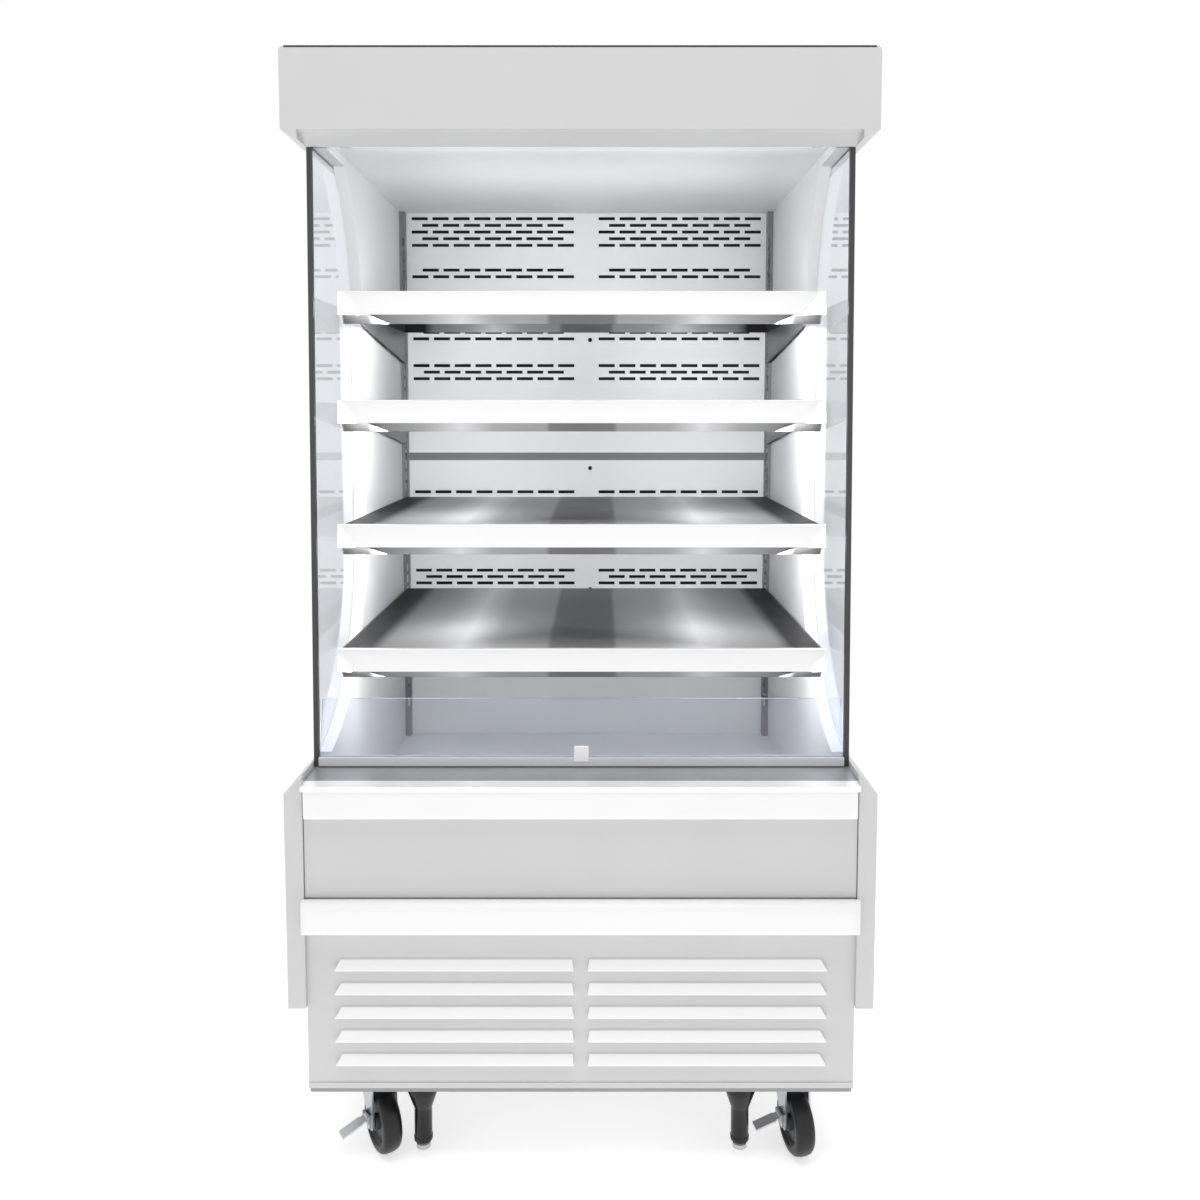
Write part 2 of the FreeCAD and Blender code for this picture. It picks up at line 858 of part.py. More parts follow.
def canopy_lamp():
    """Lamp bar behind the lip of the canopy's nose."""
    nose = front + cells.canopy_setback + cells.fascia_nose_depth
    low = canopy_bottom - cells.fascia_nose_drop + 2
    height = (low, low + cells.lamp_height)
    span = (nose, nose + cells.lamp_width)
    return node("canopy_lamp", block("lamp", symmetric(wall_inner - cells.lamp_side_gap), span, height))


def rear_wall():
    """Insulated rear wall behind the air duct."""
    height = (cells.tub_bottom, roof_bottom)
    return node("rear_wall", block("rear", symmetric(wall_outer), (rear_wall_face, rear), height))


def height_at(share):
    """The height at a share of the way from the deck to the ceiling."""
    return cells.deck_height + deck_to_ceiling * share


def slotted_panel(label, low, top, shares, row_counts):
    """A back panel with rows of air slots on both sides of a plain strip, and screw holes."""
    half = wall_inner.value
    plane_y = back_panel_rear.value

    def loop(left, right, bottom, upper):
        points = [FreeCAD.Vector(x, plane_y, z) for x, z in
                  ((left, bottom), (right, bottom), (right, upper), (left, upper), (left, bottom))]
        return Part.makePolygon(points)

    wires = [loop(-half, half, low.value, top.value)]
    pitch = cells.slot_pitch.value
    length = cells.slot_length.value
    height = cells.slot_height.value
    spacing = (deck_to_ceiling / cells.slot_rows_in_height).value
    count = int(cells.slots_per_row.value)
    for share, rows in zip(shares, row_counts):
        for row in range(rows):
            middle = height_at(share).value + row * spacing
            shift = pitch / 2 if row % 2 else 0.0
            for side in (-1, 1):
                for place in range(count):
                    inner = cells.slot_strip_half.value + shift + place * pitch
                    outer = inner + length
                    ends = sorted((side * inner, side * outer))
                    if outer < half - cells.upright_width.value / 2:
                        wires.append(loop(ends[0], ends[1], middle - height / 2,
                                          middle + height / 2))
    hole = cells.screw_shank_radius.value + cells.fit_gap.value
    screws = [height_at(share).value for share in SCREW_SHARES]
    for screw in [height for height in screws if low.value < height < top.value]:
        centre = FreeCAD.Vector(cells.screw_offset.value, plane_y, screw)
        circle = Part.makeCircle(hole, centre, FreeCAD.Vector(0, 1, 0))
        wires.append(Part.Wire([circle]))
    face = Part.Face([wires[0]])
    holes = [Part.Face([wire]) for wire in wires[1:]]
    plate = face.cut(holes).extrude(FreeCAD.Vector(0, -cells.sheet.value, 0))
    return node(label, worked(label + "_sheet", plate))


def back_panels():
    """The two slotted back panels, with a gap between them."""
    gap = cells.joint_gap / 2
    slotted_panel("back_panel_upper", panel_joint + gap, ceiling_height, UPPER_SLOT_SHARES,
                  UPPER_ROW_COUNTS)
    slotted_panel("back_panel_lower", cells.lower_panel_bottom, panel_joint - gap,
                  LOWER_SLOT_SHARES, LOWER_ROW_COUNTS)


def panel_screws():
    """The screws that hold the back panels."""
    screws = []
    for number, share in enumerate(SCREW_SHARES, start=1):
        head_start = back_face - cells.screw_head_height
        place = (cells.screw_offset, head_start, height_at(share))
        head = rod(f"screw_head_{number}", "Y", place, cells.screw_head_height,
                   cells.screw_head_radius)
        shank = rod(f"screw_shank_{number}", "Y", place, cells.screw_head_height * 5,
                    cells.screw_shank_radius)
        screws.append(joined(f"screw_{number}", [head, shank]))
    return node("panel_screws", group("panel_screws_group", screws))


def first_hook_slot():
    """The height of the lowest edge of the lowest slot in the uprights."""
    return (cells.first_shelf_height - cells.hook_drop
            - cells.hook_slot_pitch * cells.slots_below_shelf)


def shelf_frame():
    """Two slotted uprights and the rail behind the joint of the back panels."""
    parts = []
    wall = cells.upright_sheet
    bracket_middle = shelf_half - cells.bracket_thickness * 5 / 6
    for side, hand in ((-1, "left"), (1, "right")):
        outer = wall_inner * side
        inner = (wall_inner - cells.upright_width) * side
        plan = [
            (inner, upright_face),
            (outer, upright_face),
            (outer, back_face),
            (outer - wall * 0.75 * side, back_face),
            (outer - wall * 0.75 * side, upright_face + wall),
            (inner + wall * 0.75 * side, upright_face + wall),
            (inner + wall * 0.75 * side, back_face),
            (inner, back_face),
        ]
        body = new_body(f"upright_{hand}")
        padded(body, f"upright_{hand}_pad", "XY", [plan], (cells.deck_height, ceiling_height))
        near, far = sided(side, bracket_middle - cells.hook_slot_width / 2,
                          bracket_middle + cells.hook_slot_width / 2)
        low = first_hook_slot()
        slot = [
            (near, low),
            (far, low),
            (far, low + cells.hook_slot_height),
            (near, low + cells.hook_slot_height),
        ]
        hole = pocketed(body, f"upright_{hand}_slot", "XZ", [slot],
                        (upright_face - 1, upright_face + wall + 1))
        room = ceiling_height - cells.hook_slot_head_margin - cells.hook_slot_height - low
        repeated(body, f"upright_{hand}_slots", [hole], "Z_Axis", cells.hook_slot_pitch,
                 whole(room / cells.hook_slot_pitch) + 1)
        parts.append(body)
    half_height = cells.joint_rail_height / 2
    parts.append(block("joint_rail", symmetric(wall_inner),
                       (back_panel_rear, back_panel_rear + cells.joint_rail_depth),
                       (panel_joint - half_height, panel_joint + half_height)))
    return node("shelf_frame", group("shelf_frame_group", parts))


def insulated_tub():
    """Insulated floor and front wall of the base, with a drain hole."""
    notch_back = tub_front + cells.louvre_stand
    notch_top = (cells.louvre_first + cells.louvre_pitch * (cells.louvre_count - 1)
                 + cells.louvre_height + cells.fit_gap * 3)
    outline = [
        (tub_front, notch_top),
        (notch_back, notch_top),
        (notch_back, cells.tub_bottom),
        (rear_wall_face, cells.tub_bottom),
        (rear_wall_face, tub_floor),
        (tub_inner_front, tub_floor),
        (tub_inner_front, sill_underside),
        (tub_front, sill_underside),
    ]
    tub = prism("tub_foam", "YZ", outline, symmetric(wall_inner))
    bore = rod("tub_drain_bore", "Z", (drain_x, drain_y, cells.tub_bottom - 1),
               cells.tub_foam + 2, cells.drain_radius - cells.drain_wall)
    return node("insulated_tub", cut("tub", tub, [bore]))


def deck_pan():
    """The lowest deck, folded down at the front and notched round the uprights at the rear."""
    outline = [
        (deck_edge, cells.deck_height),
        (deck_edge, deck_underside - cells.deck_front_fold),
        (deck_edge + cells.sheet, deck_underside - cells.deck_front_fold),
        (deck_edge + cells.sheet, deck_underside),
        (back_face, deck_underside),
        (back_face, cells.deck_height),
    ]
    sheet = prism("deck", "YZ", outline, symmetric(wall_inner - cells.fit_gap))
    notches = []
    for side, hand in ((-1, "left"), (1, "right")):
        span = sided(side, wall_inner - cells.upright_width - cells.fit_gap, wall_inner)
        notches.append(block(f"deck_notch_{hand}", span,
                             (upright_face - cells.fit_gap, back_face + 1),
                             (deck_underside - 1, cells.deck_height + 1)))
    return node("deck_pan", cut("notched_deck", sheet, notches))


def return_grille():
    """Slotted return air grille, from a foot on the deck's front fold up to the sill."""
    head = wall_foot - cells.grille_head_set
    low = cells.deck_height
    top = sill_underside - cells.fit_gap
    outline = [
        (deck_edge, low - cells.deck_front_fold),
        (deck_edge, low),
        (head, top),
        (head - cells.sheet, top),
        (deck_edge - cells.sheet, low),
        (deck_edge - cells.sheet, low - cells.deck_front_fold),
    ]
    body = new_body("return_grille_body")
    half = wall_inner - cells.fit_gap
    padded(body, "grille_sheet", "YZ", [outline], symmetric(half))
    slot_count = whole((half * 2 - cells.grille_slot_width) / cells.grille_slot_pitch)
    start = -(cells.grille_slot_pitch * (slot_count - 1) + cells.grille_slot_width) / 2
    slot = [
        (start, low + cells.grille_slot_margin),
        (start + cells.grille_slot_width, low + cells.grille_slot_margin),
        (start + cells.grille_slot_width, top - cells.grille_slot_margin),
        (start, top - cells.grille_slot_margin),
    ]
    hole = pocketed(body, "grille_slot", "XZ", [slot], (head - 5, deck_edge + 5))
    repeated(body, "grille_slots", [hole], "X_Axis", cells.grille_slot_pitch, slot_count)
    return node("return_grille", body)


def riser_outline(gap, top):
    """The leaning section of the riser glass, grown by a gap."""
    foot = front + cells.riser_foot_setback
    lean = cells.riser_lean * (top - cells.riser_foot) / (cells.riser_top - cells.riser_foot)
    half = cells.riser_thickness / 2 + gap
    return [
        (foot - half, cells.riser_foot),
        (foot + half, cells.riser_foot),
        (foot + half + lean, top),
        (foot - half + lean, top),
    ]


def riser_glass():
    """The clear riser along the front of the deck."""
    outline = riser_outline(as_size(0), cells.riser_top)
    return node("riser_glass", prism("riser", "YZ", outline, symmetric(riser_half)))


def riser_channel():
    """The channel that holds the riser on the sill, and the clip on its middle."""
    back = wall_foot - cells.fit_gap
    face = back - cells.channel_depth
    top = cells.base_top + cells.channel_height
    span = symmetric(riser_half)
    bar = block("channel_bar", span, (face, back), (cells.base_top, top))
    groove = prism("channel_groove", "YZ", riser_outline(as_size(0.1), cells.clip_top), span)
    channel = cut("grooved_channel", bar, [groove])
    foot_front = front + cells.riser_foot_setback - cells.riser_thickness / 2
    slope = cells.riser_lean / (cells.riser_top - cells.riser_foot)
    step = cells.clip_stand
    outline = [
        (face, top - step * 3),
        (face - step, top - step * 3),
        (face - step, cells.clip_top),
        (foot_front + slope * (cells.clip_top - cells.riser_foot) - cells.fit_gap, cells.clip_top),
        (foot_front + slope * (top - cells.riser_foot) - cells.fit_gap, top),
        (face, top),
    ]
    clip = prism("riser_clip", "YZ", outline, symmetric(cells.clip_width / 2))
    return node("riser_channel", group("riser_channel_group", [channel, clip]))


def sill():
    """Steel sill over the front of the base, folded down at the front and the rear."""
    wall = cells.sheet
    low = front + cells.upper_bumper_setback - wall
    high = wall_foot - cells.fit_gap
    top = cells.base_top
    outline = [
        (low, top - cells.sill_front_fold),
        (low + wall, top - cells.sill_front_fold),
        (low + wall, top - wall),
        (high - wall, top - wall),
        (high - wall, top - cells.sill_rear_fold),
        (high, top - cells.sill_rear_fold),
        (high, top),
        (low, top),
    ]
    wide = prism("sill_sheet", "YZ", outline, symmetric(wall_outer - cells.fit_gap))
    fold_trim = []
    for side, hand in ((-1, "left"), (1, "right")):
        span = sided(side, wall_inner - cells.fit_gap, wall_outer)
        fold_trim.append(block(f"sill_notch_{hand}", span, (high - wall - 1, high + 1),
                               (top - cells.sill_rear_fold, top - wall)))
        cover = sided(side, half_width - cells.cover_front_return - cells.fit_gap, half_width)
        reach = (low - 1, front + cells.cover_setback + cells.cover_return_depth + cells.fit_gap)
        fold_trim.append(block(f"sill_corner_{hand}", cover, reach,
                               (top - cells.sill_front_fold, top + 1)))
    return node("sill", cut("notched_sill", wide, fold_trim))


def front_bumpers():
    """The two rounded bumpers across the base."""
    low = cells.lower_bumper_bottom
    top = low + cells.lower_bumper_height
    corner = cells.lower_bumper_corner
    back = front + cells.cover_setback - cells.fit_gap
    outline = [
        (back, top),
        (back, low),
        (front + corner, low),
        Arc(front, low + corner, corner, -1),
        (front, top - corner),
        Arc(front + corner, top, corner, -1),
    ]
    bar = prism("lower_bumper_bar", "YZ", outline,
                symmetric(wall_outer + cells.lower_bumper_overhang))
    inset = cells.bumper_mount_inset
    mount = block("lower_bumper_mount", symmetric(wall_outer - inset), (back, tub_front),
                  (low + inset, top - inset))
    lower = joined("lower_bumper", [bar, mount])
    face = front + cells.upper_bumper_setback
    corner = cells.upper_bumper_corner
    outline = [
        (tub_front, sill_underside),
        (tub_front, cells.upper_bumper_bottom),
        (face + corner, cells.upper_bumper_bottom),
        Arc(face, cells.upper_bumper_bottom + corner, corner, -1),
        (face, sill_underside),
    ]
    upper = prism("upper_bumper", "YZ", outline,
                  symmetric(wall_outer - cells.upper_bumper_side_inset))
    return node("front_bumpers", group("front_bumpers_group", [lower, upper]))


def front_panel():
    """Shallow sheet metal tray across the base between the bumpers."""
    low = cells.lower_bumper_bottom + cells.lower_bumper_height + cells.fit_gap
    top = cells.upper_bumper_bottom - cells.fit_gap
    face = front + cells.front_panel_setback
    wall = cells.sheet
    half = wall_outer - cells.front_panel_side_inset
    outer = block("front_panel_outer", symmetric(half), (face, tub_front), (low, top))
    inner = block("front_panel_inner", symmetric(half - wall), (face + wall, tub_front + 1),
                  (low + wall, top - wall))
    return node("front_panel", cut("front_tray", outer, [inner]))


def louvre_panel():
    """Panel of the machine compartment with two columns of louvres pressed outwards."""
    face = front + cells.louvre_panel_setback
    wall = cells.sheet
    low = cells.louvre_panel_bottom
    top = cells.lower_bumper_bottom - cells.fit_gap
    half = louvre_panel_half
    body = new_body("louvre_panel_body")
    section = [
        (face, top),
        (face, low + cells.panel_hem),
        (face - wall, low + cells.panel_hem),
        (face - wall, low),
        (face + wall, low),
        (face + wall, top),
    ]
    padded(body, "louvre_sheet", "YZ", [section], symmetric(half))
    bottom = cells.louvre_first
    louvre_top = bottom + cells.louvre_height
    nose = face - cells.louvre_stand
    inner = cells.louvre_inner
    outer = half - cells.louvre_side_margin
    hood = [
        (face, bottom),
        (nose, bottom),
        (nose, bottom + wall),
        (face, louvre_top),
    ]
    mouth = [
        (face + wall, bottom),
        (nose + wall, bottom),
        (nose + wall, bottom + wall / 2),
        (face + wall, louvre_top - wall * 2),
    ]
    row_features = []
    for side, hand in ((-1, "left"), (1, "right")):
        row_features.append(padded(body, f"louvre_hood_{hand}", "YZ", [hood],
                                   sided(side, inner, outer)))
        for end, edge, slant in (("inner", inner, -cells.louvre_inner_taper),
                                 ("outer", outer, cells.louvre_outer_taper)):
            corner = [
                (edge * side, bottom),
                ((edge + slant) * side, bottom),
                ((edge + slant) * side, louvre_top),
                ((edge - slant) * side, louvre_top),
            ]
            row_features.append(pocketed(body, f"louvre_{end}_slant_{hand}", "XZ", [corner],
                                         (nose - 1, face)))
        span = sided(side, inner + cells.louvre_inner_taper + wall,
                     outer - cells.louvre_outer_taper - wall)
        row_features.append(pocketed(body, f"louvre_mouth_{hand}", "YZ", [mouth], span))
    repeated(body, "louvre_rows", row_features, "Z_Axis", cells.louvre_pitch, cells.louvre_count)
    return node("louvre_panel", body)


def machine_housing():
    """Skirts, vented rear sheet and inlet plate of the machine compartment."""
    half = louvre_panel_half
    wall = cells.sheet
    low = front + cells.louvre_panel_setback + wall
    bottom = cells.louvre_panel_bottom
    height = (bottom, cells.tub_bottom)
    skirts = [block(f"housing_skirt_{hand}", sided(side, half - wall, half), (low, rear), height)
              for side, hand in ((-1, "left"), (1, "right"))]
    inner = half - wall - cells.fit_gap
    seam = half - cells.inlet_plate_width
    body = new_body("vented_rear_body")
    sheet = [
        (-inner, rear - wall),
        (seam - cells.fit_gap, rear - wall),
        (seam - cells.fit_gap, rear),
        (-inner, rear),
    ]
    padded(body, "vented_sheet", "XY", [sheet], height)
    start = bottom + 40
    slot_half = half - cells.vent_slot_margin
    slot = [
        (-slot_half, start),
        (slot_half, start),
        (slot_half, start + cells.vent_slot_height),
        (-slot_half, start + cells.vent_slot_height),
    ]
    hole = pocketed(body, "vent_slot", "XZ", [slot], (rear - wall - 1, rear + 1))
    repeated(body, "vent_slots", [hole], "Z_Axis", cells.vent_slot_pitch, cells.vent_slot_count)
    gap = cells.inlet_wall
    x, z = inlet_place()
    plate = block("inlet_plate", (seam, inner), (rear - wall, rear), height)
    opening = block("inlet_opening", (x + gap, x + cells.inlet_width - gap),
                    (rear - wall - 1, rear + 1), (z + gap, z + cells.inlet_height - gap))
    pierced = cut("pierced_inlet_plate", plate, [opening])
    return node("machine_housing", group("machine_housing_group", [*skirts, body, pierced]))


def inlet_place():
    """The lowest left corner of the power inlet, seen from the front."""
    x = louvre_panel_half - cells.sheet - cells.box_margin - cells.inlet_margin
    return x, floor_plate_top


def fan_rotor(name, hub_radius, tip_radius, depth, bore, blade_count):
    """A bladed rotor on the Y axis about the origin, as one shape."""
    y_axis = FreeCAD.Vector(0, 1, 0)
    centre = FreeCAD.Vector(0, 0, 0)
    hub_start = FreeCAD.Vector(0, -depth / 2, 0)
    hub = Part.makeCylinder(hub_radius, depth, hub_start, y_axis)
    blades = []
    for turn in range(blade_count):
        sections = []
        for reach, pitch_angle, chord in ((hub_radius * 0.8, 52.0, hub_radius * 0.95),
                                          (tip_radius, 24.0, tip_radius * 0.78)):
            angle = math.radians(pitch_angle)
            along = FreeCAD.Vector(math.cos(angle), math.sin(angle), 0) * (chord / 2)
            across = FreeCAD.Vector(-math.sin(angle), math.cos(angle), 0) * 0.8
            middle = FreeCAD.Vector(0, 0, reach)
            loop = [middle - along - across, middle + along - across,
                    middle + along + across, middle - along + across]
            sections.append(Part.makePolygon(loop + [loop[0]]))
        blade = Part.makeLoft(sections, True, True)
        blade.rotate(centre, y_axis, 360.0 * turn / blade_count)
        blades.append(blade)
    rim_start = FreeCAD.Vector(0, -depth / 2, 0)
    sweep = Part.makeCylinder(tip_radius, depth, rim_start, y_axis)
    rotor = hub.fuse([blade.common(sweep) for blade in blades])
    hole = Part.makeCylinder(bore, depth + 2, FreeCAD.Vector(0, -depth / 2 - 1, 0), y_axis)
    return worked(name, rotor.cut(hole).removeSplitter())


evaporator_fan_height = tub_floor + cells.evaporator_fan_size / 2 + 1
evaporator_fan_middle = fan_plate_front - cells.evaporator_fan_depth / 2
drain_x = as_size(0)
drain_y = rear_wall_face - cells.pan_depth / 2


def evaporator_fan_frames():
    """The fan plate under the deck's front edge, with a fan housing and motor on each hole."""
    size = cells.evaporator_fan_size
    depth = cells.evaporator_fan_depth
    hole_radius = cells.evaporator_fan_rotor + cells.fan_tip_gap
    front_plane = fan_plate_front - depth
    plate = block("fan_plate", symmetric(wall_inner - cells.fit_gap),
                  (fan_plate_front, fan_plate_front + cells.sheet), (tub_floor, deck_underside))
    holes = []
    parts = []
    for side, hand in ((-1, "left"), (1, "right")):
        x = cells.evaporator_fan_place * side
        z = evaporator_fan_height
        holes.append(rod(f"plate_hole_{hand}", "Y", (x, fan_plate_front - 1, z),
                         cells.sheet + 2, hole_radius))
        frame = block(f"fan_box_{hand}", (x - size / 2, x + size / 2),
                      (front_plane, fan_plate_front), (z - size / 2, z + size / 2))
        throat = rod(f"fan_throat_{hand}", "Y", (x, front_plane - 1, z), depth + 2, hole_radius)
        housing = cut(f"fan_housing_{hand}", frame, [throat])
        arm = cells.sheet * 2
        across = block(f"fan_arm_{hand}", (x - size / 2, x + size / 2),
                       (fan_plate_front - arm, fan_plate_front), (z - arm, z + arm))
        motor = rod(f"fan_motor_{hand}", "Y", (x, fan_plate_front - arm * 2, z), arm * 2,
                    cells.evaporator_fan_hub)
        shaft = rod(f"fan_shaft_{hand}", "Y", (x, front_plane + 1, z), depth - 2,
                    cells.fan_shaft_radius)
        parts.append(joined(f"fan_frame_{hand}", [housing, across, motor, shaft]))
    parts.append(cut("drilled_fan_plate", plate, holes))
    return node("evaporator_fan_frames", group("evaporator_fan_frames_group", parts))


def evaporator_fan(side, label):
    """A rotor of one of the evaporator fans."""
    room = cells.evaporator_fan_depth - cells.sheet * 4 - 1
    depth = room - 2
    rotor = fan_rotor(label + "_rotor", cells.evaporator_fan_hub.value,
                      cells.evaporator_fan_rotor.value, depth.value,
                      (cells.fan_shaft_radius + cells.shaft_clearance).value, 7)
    middle = fan_plate_front - cells.sheet * 4 - 0.5 - depth / 2
    rotor = put(rotor, cells.evaporator_fan_place * side, middle, evaporator_fan_height)
    return node(label, rotor)


def evaporator_coil():
    """Finned coil between two end plates that also carry the deck."""
    low = tub_floor + cells.coil_clearance
    fins_half = wall_inner - cells.fit_gap * 30
    front_y = coil_front
    core = block("coil_fins", symmetric(fins_half), (front_y, front_y + cells.coil_depth),
                 (low, low + cells.coil_height))
    parts = [core]
    for side, hand in ((-1, "left"), (1, "right")):
        span = sided(side, fins_half, fins_half + cells.header_thickness)
        parts.append(block(f"coil_plate_{hand}", span, (front_y, upright_face),
                           (tub_floor, deck_underside)))
    return node("evaporator_coil", group("evaporator_coil_group", parts))


condenser_half = louvre_panel_half - cells.condenser_side_room
condenser_front = front + cells.condenser_setback


def condenser_coil():
    """Finned coil behind the louvred panel, with headers and return bends at both ends."""
    half = condenser_half
    middle = cells.condenser_centre
    low = floor_plate_top
    depth = (condenser_front, condenser_front + cells.condenser_depth)
    height = (low, low + cells.condenser_height)
    parts = [block("condenser_fins", (middle - half, middle + half), depth, height)]
    for side, hand in ((-1, "left"), (1, "right")):
        inner = middle + half * side
        outer = inner + cells.header_thickness * side
        span = (inner, outer) if side > 0 else (outer, inner)
        parts.append(block(f"condenser_header_{hand}", span, depth, height))
        for bend in range(3):
            torus = document.addObject("Part::Torus", f"bend_{hand}_{bend}")
            bind(torus, "Radius1", cells.bend_radius)
            bind(torus, "Radius2", cells.coil_tube_radius)
            torus.Angle3 = 180.0
            place_z = low + cells.condenser_height * (bend + 0.5) / 3
            torus.Placement.Rotation = bend_turn(side)
            put(torus, outer, condenser_front + cells.condenser_depth / 2, place_z)
            parts.append(torus)
    return node("condenser_coil", group("condenser_coil_group", parts))


def bend_turn(side):
    """The turn that stands a half ring upright in the XZ plane, open towards the coil."""
    upright = FreeCAD.Rotation(FreeCAD.Vector(1, 0, 0), 90)
    turn = FreeCAD.Rotation(FreeCAD.Vector(0, 1, 0), 90 * side)
    return turn.multiply(upright)


condenser_back = condenser_front + cells.condenser_depth
condenser_middle_height = floor_plate_top + cells.condenser_height / 2
shroud_back = condenser_back + cells.shroud_depth
condenser_fan_middle = shroud_back + cells.condenser_fan_depth / 2 - 4
fan_motor_front = condenser_fan_middle + cells.condenser_fan_depth / 2 + 2


def condenser_shroud():
    """Shroud behind the condenser with the fan's hole, and the fan motor on its pedestal."""
    half = condenser_half
    middle = cells.condenser_centre
    wall = cells.sheet
    low = floor_plate_top
    top = low + cells.condenser_height
    outer = block("shroud_outer", (middle - half, middle + half), (condenser_back, shroud_back),
                  (low, top))
    inner = block("shroud_inner", (middle - half + wall, middle + half - wall),
                  (condenser_back - 1, shroud_back - wall), (low + wall, top - wall))
    hole = rod("shroud_hole", "Y", (middle, shroud_back - 10, condenser_middle_height), as_size(20),
               cells.shroud_hole_radius)
    shroud = cut("shroud", outer, [inner, hole])
    motor = rod("fan_motor", "Y", (middle, fan_motor_front, condenser_middle_height),
                cells.fan_motor_length, cells.fan_motor_radius)
    shaft_start = condenser_fan_middle - cells.condenser_fan_depth / 2 - 1
    shaft = rod("fan_shaft", "Y", (middle, shaft_start, condenser_middle_height),
                cells.condenser_fan_depth + 8, cells.fan_shaft_radius * 2)
    width = cells.motor_pedestal_width / 2
    pedestal = block("motor_pedestal", (middle - width, middle + width),
                     (fan_motor_front + 8, fan_motor_front + cells.fan_motor_length - 8),
                     (low, condenser_middle_height))
    mounted = joined("mounted_motor", [motor, shaft, pedestal])
    return node("condenser_shroud", group("condenser_shroud_group", [shroud, mounted]))


def condenser_fan():
    """The rotor that draws air through the condenser."""
    bore = cells.fan_shaft_radius * 2 + cells.shaft_clearance
    rotor = fan_rotor("condenser_rotor", cells.condenser_fan_hub.value,
                      cells.condenser_fan_rotor.value, cells.condenser_fan_depth.value,
                      bore.value, 5)
    rotor = put(rotor, cells.condenser_centre, condenser_fan_middle, condenser_middle_height)
    return node("condenser_fan", rotor)


compressor_base = floor_plate_top + cells.compressor_foot_height
compressor_y = front + cells.compressor_setback


def compressor():
    """Hermetic compressor shell on a plate with four rubber feet."""
    radius = cells.compressor_radius
    low = cells.compressor_plate
    height = cells.compressor_height
    dome = 34
    outline = [
        (as_size(0), low),
        (radius - 20, low),
        Arc(radius, low + 20, as_size(20), 1),
        (radius, low + height - dome),
        Arc(radius - dome, low + height, as_size(dome), 1),
        (as_size(0), low + height),
    ]
    shell = turned("compressor_shell", "XZ", outline, "V_Axis")
    put(shell, cells.compressor_place_x, compressor_y, compressor_base)
    reach = radius * 0.82
    x = cells.compressor_place_x
    y = compressor_y
    plate = block("compressor_plate", (x - radius, x + radius), (y - radius, y + radius),
                  (compressor_base, compressor_base + low))
    parts = [shell, plate]
    for number, (step_x, step_y) in enumerate(((-1, -1), (1, -1), (-1, 1), (1, 1)), start=1):
        place = (x + reach * step_x, y + reach * step_y, floor_plate_top)
        parts.append(rod(f"compressor_foot_{number}", "Z", place, cells.compressor_foot_height,
                         cells.compressor_foot_radius))
    return node("compressor", group("compressor_group", parts))


def tube(points, radius, bend):
    """A round tube along straight runs that are joined by tangent arcs."""
    edges = []
    here = points[0]
    for position in range(1, len(points) - 1):
        corner = points[position]
        back = (here - corner).normalize()
        ahead = (points[position + 1] - corner).normalize()
        turn = math.pi - back.getAngle(ahead)
        setback = bend * math.tan(turn / 2)
        start = corner + back * setback
        end = corner + ahead * setback
        bisector = (back + ahead).normalize()
        centre = corner + bisector * (bend / math.cos(turn / 2))
        middle = centre - bisector * bend
        edges.append(Part.LineSegment(here, start).toShape())
        edges.append(Part.Arc(start, middle, end).toShape())
        here = end
    edges.append(Part.LineSegment(here, points[-1]).toShape())
    path = Part.Wire(edges)
    direction = (points[1] - points[0]).normalize()
    section = Part.Wire([Part.makeCircle(radius, points[0], direction)])
    return path.makePipeShell([section], True, True)


def refrigerant_lines():
    """Discharge line, liquid line with its drier, and suction line."""
    vector = FreeCAD.Vector
    radius = cells.line_radius.value
    bend = radius * 4
    shell_x = cells.compressor_place_x.value
    shell_y = compressor_y.value
    entry_y = shell_y - cells.compressor_radius.value - cells.discharge_line_reach.value * 2 / 3
    shell_radius = cells.compressor_radius.value
    mid_shell = (compressor_base + cells.compressor_plate + cells.compressor_height / 2).value
    plenum = tub_floor.value
    header = (cells.condenser_centre + condenser_half + cells.header_thickness).value
    coil_y = (condenser_back - cells.line_entry).value
    low = floor_plate_top.value
    entry_x = header + cells.discharge_line_reach.value
    entry_z = mid_shell + cells.discharge_line_reach.value
    discharge = tube([vector(shell_x, shell_y - shell_radius, mid_shell),
                      vector(shell_x, entry_y, mid_shell),
                      vector(entry_x, entry_y, mid_shell),
                      vector(entry_x, coil_y, entry_z),
                      vector(header, coil_y, entry_z)], radius, bend)
    length = cells.drier_length.value
    drier_end = shell_y + cells.drier_radius.value
    liquid_x = header + cells.liquid_line_reach.value
    liquid_z = low + cells.liquid_line_height.value
    drier = Part.makeCylinder(cells.drier_radius.value, length,
                              vector(liquid_x, drier_end - length, liquid_z), vector(0, 1, 0))
    under = cells.tub_bottom.value
    liquid = tube([vector(liquid_x, drier_end - length, liquid_z),
                   vector(liquid_x, coil_y, liquid_z),
                   vector(header, coil_y, liquid_z)], radius, bend)
    riser_line = tube([vector(liquid_x, drier_end, liquid_z),
                       vector(liquid_x, drier_end + length, liquid_z),
                       vector(liquid_x, drier_end + length, under)], radius, bend)
    suction_x = shell_x + shell_radius + cells.suction_line_reach.value
    suction = tube([vector(shell_x + shell_radius, shell_y, mid_shell),
                    vector(suction_x, shell_y, mid_shell),
                    vector(suction_x, shell_y, under)], radius, bend)
    shape = Part.makeCompound([discharge, drier, liquid, riser_line, suction])
    return node("refrigerant_lines", worked("refrigerant_line_set", shape))


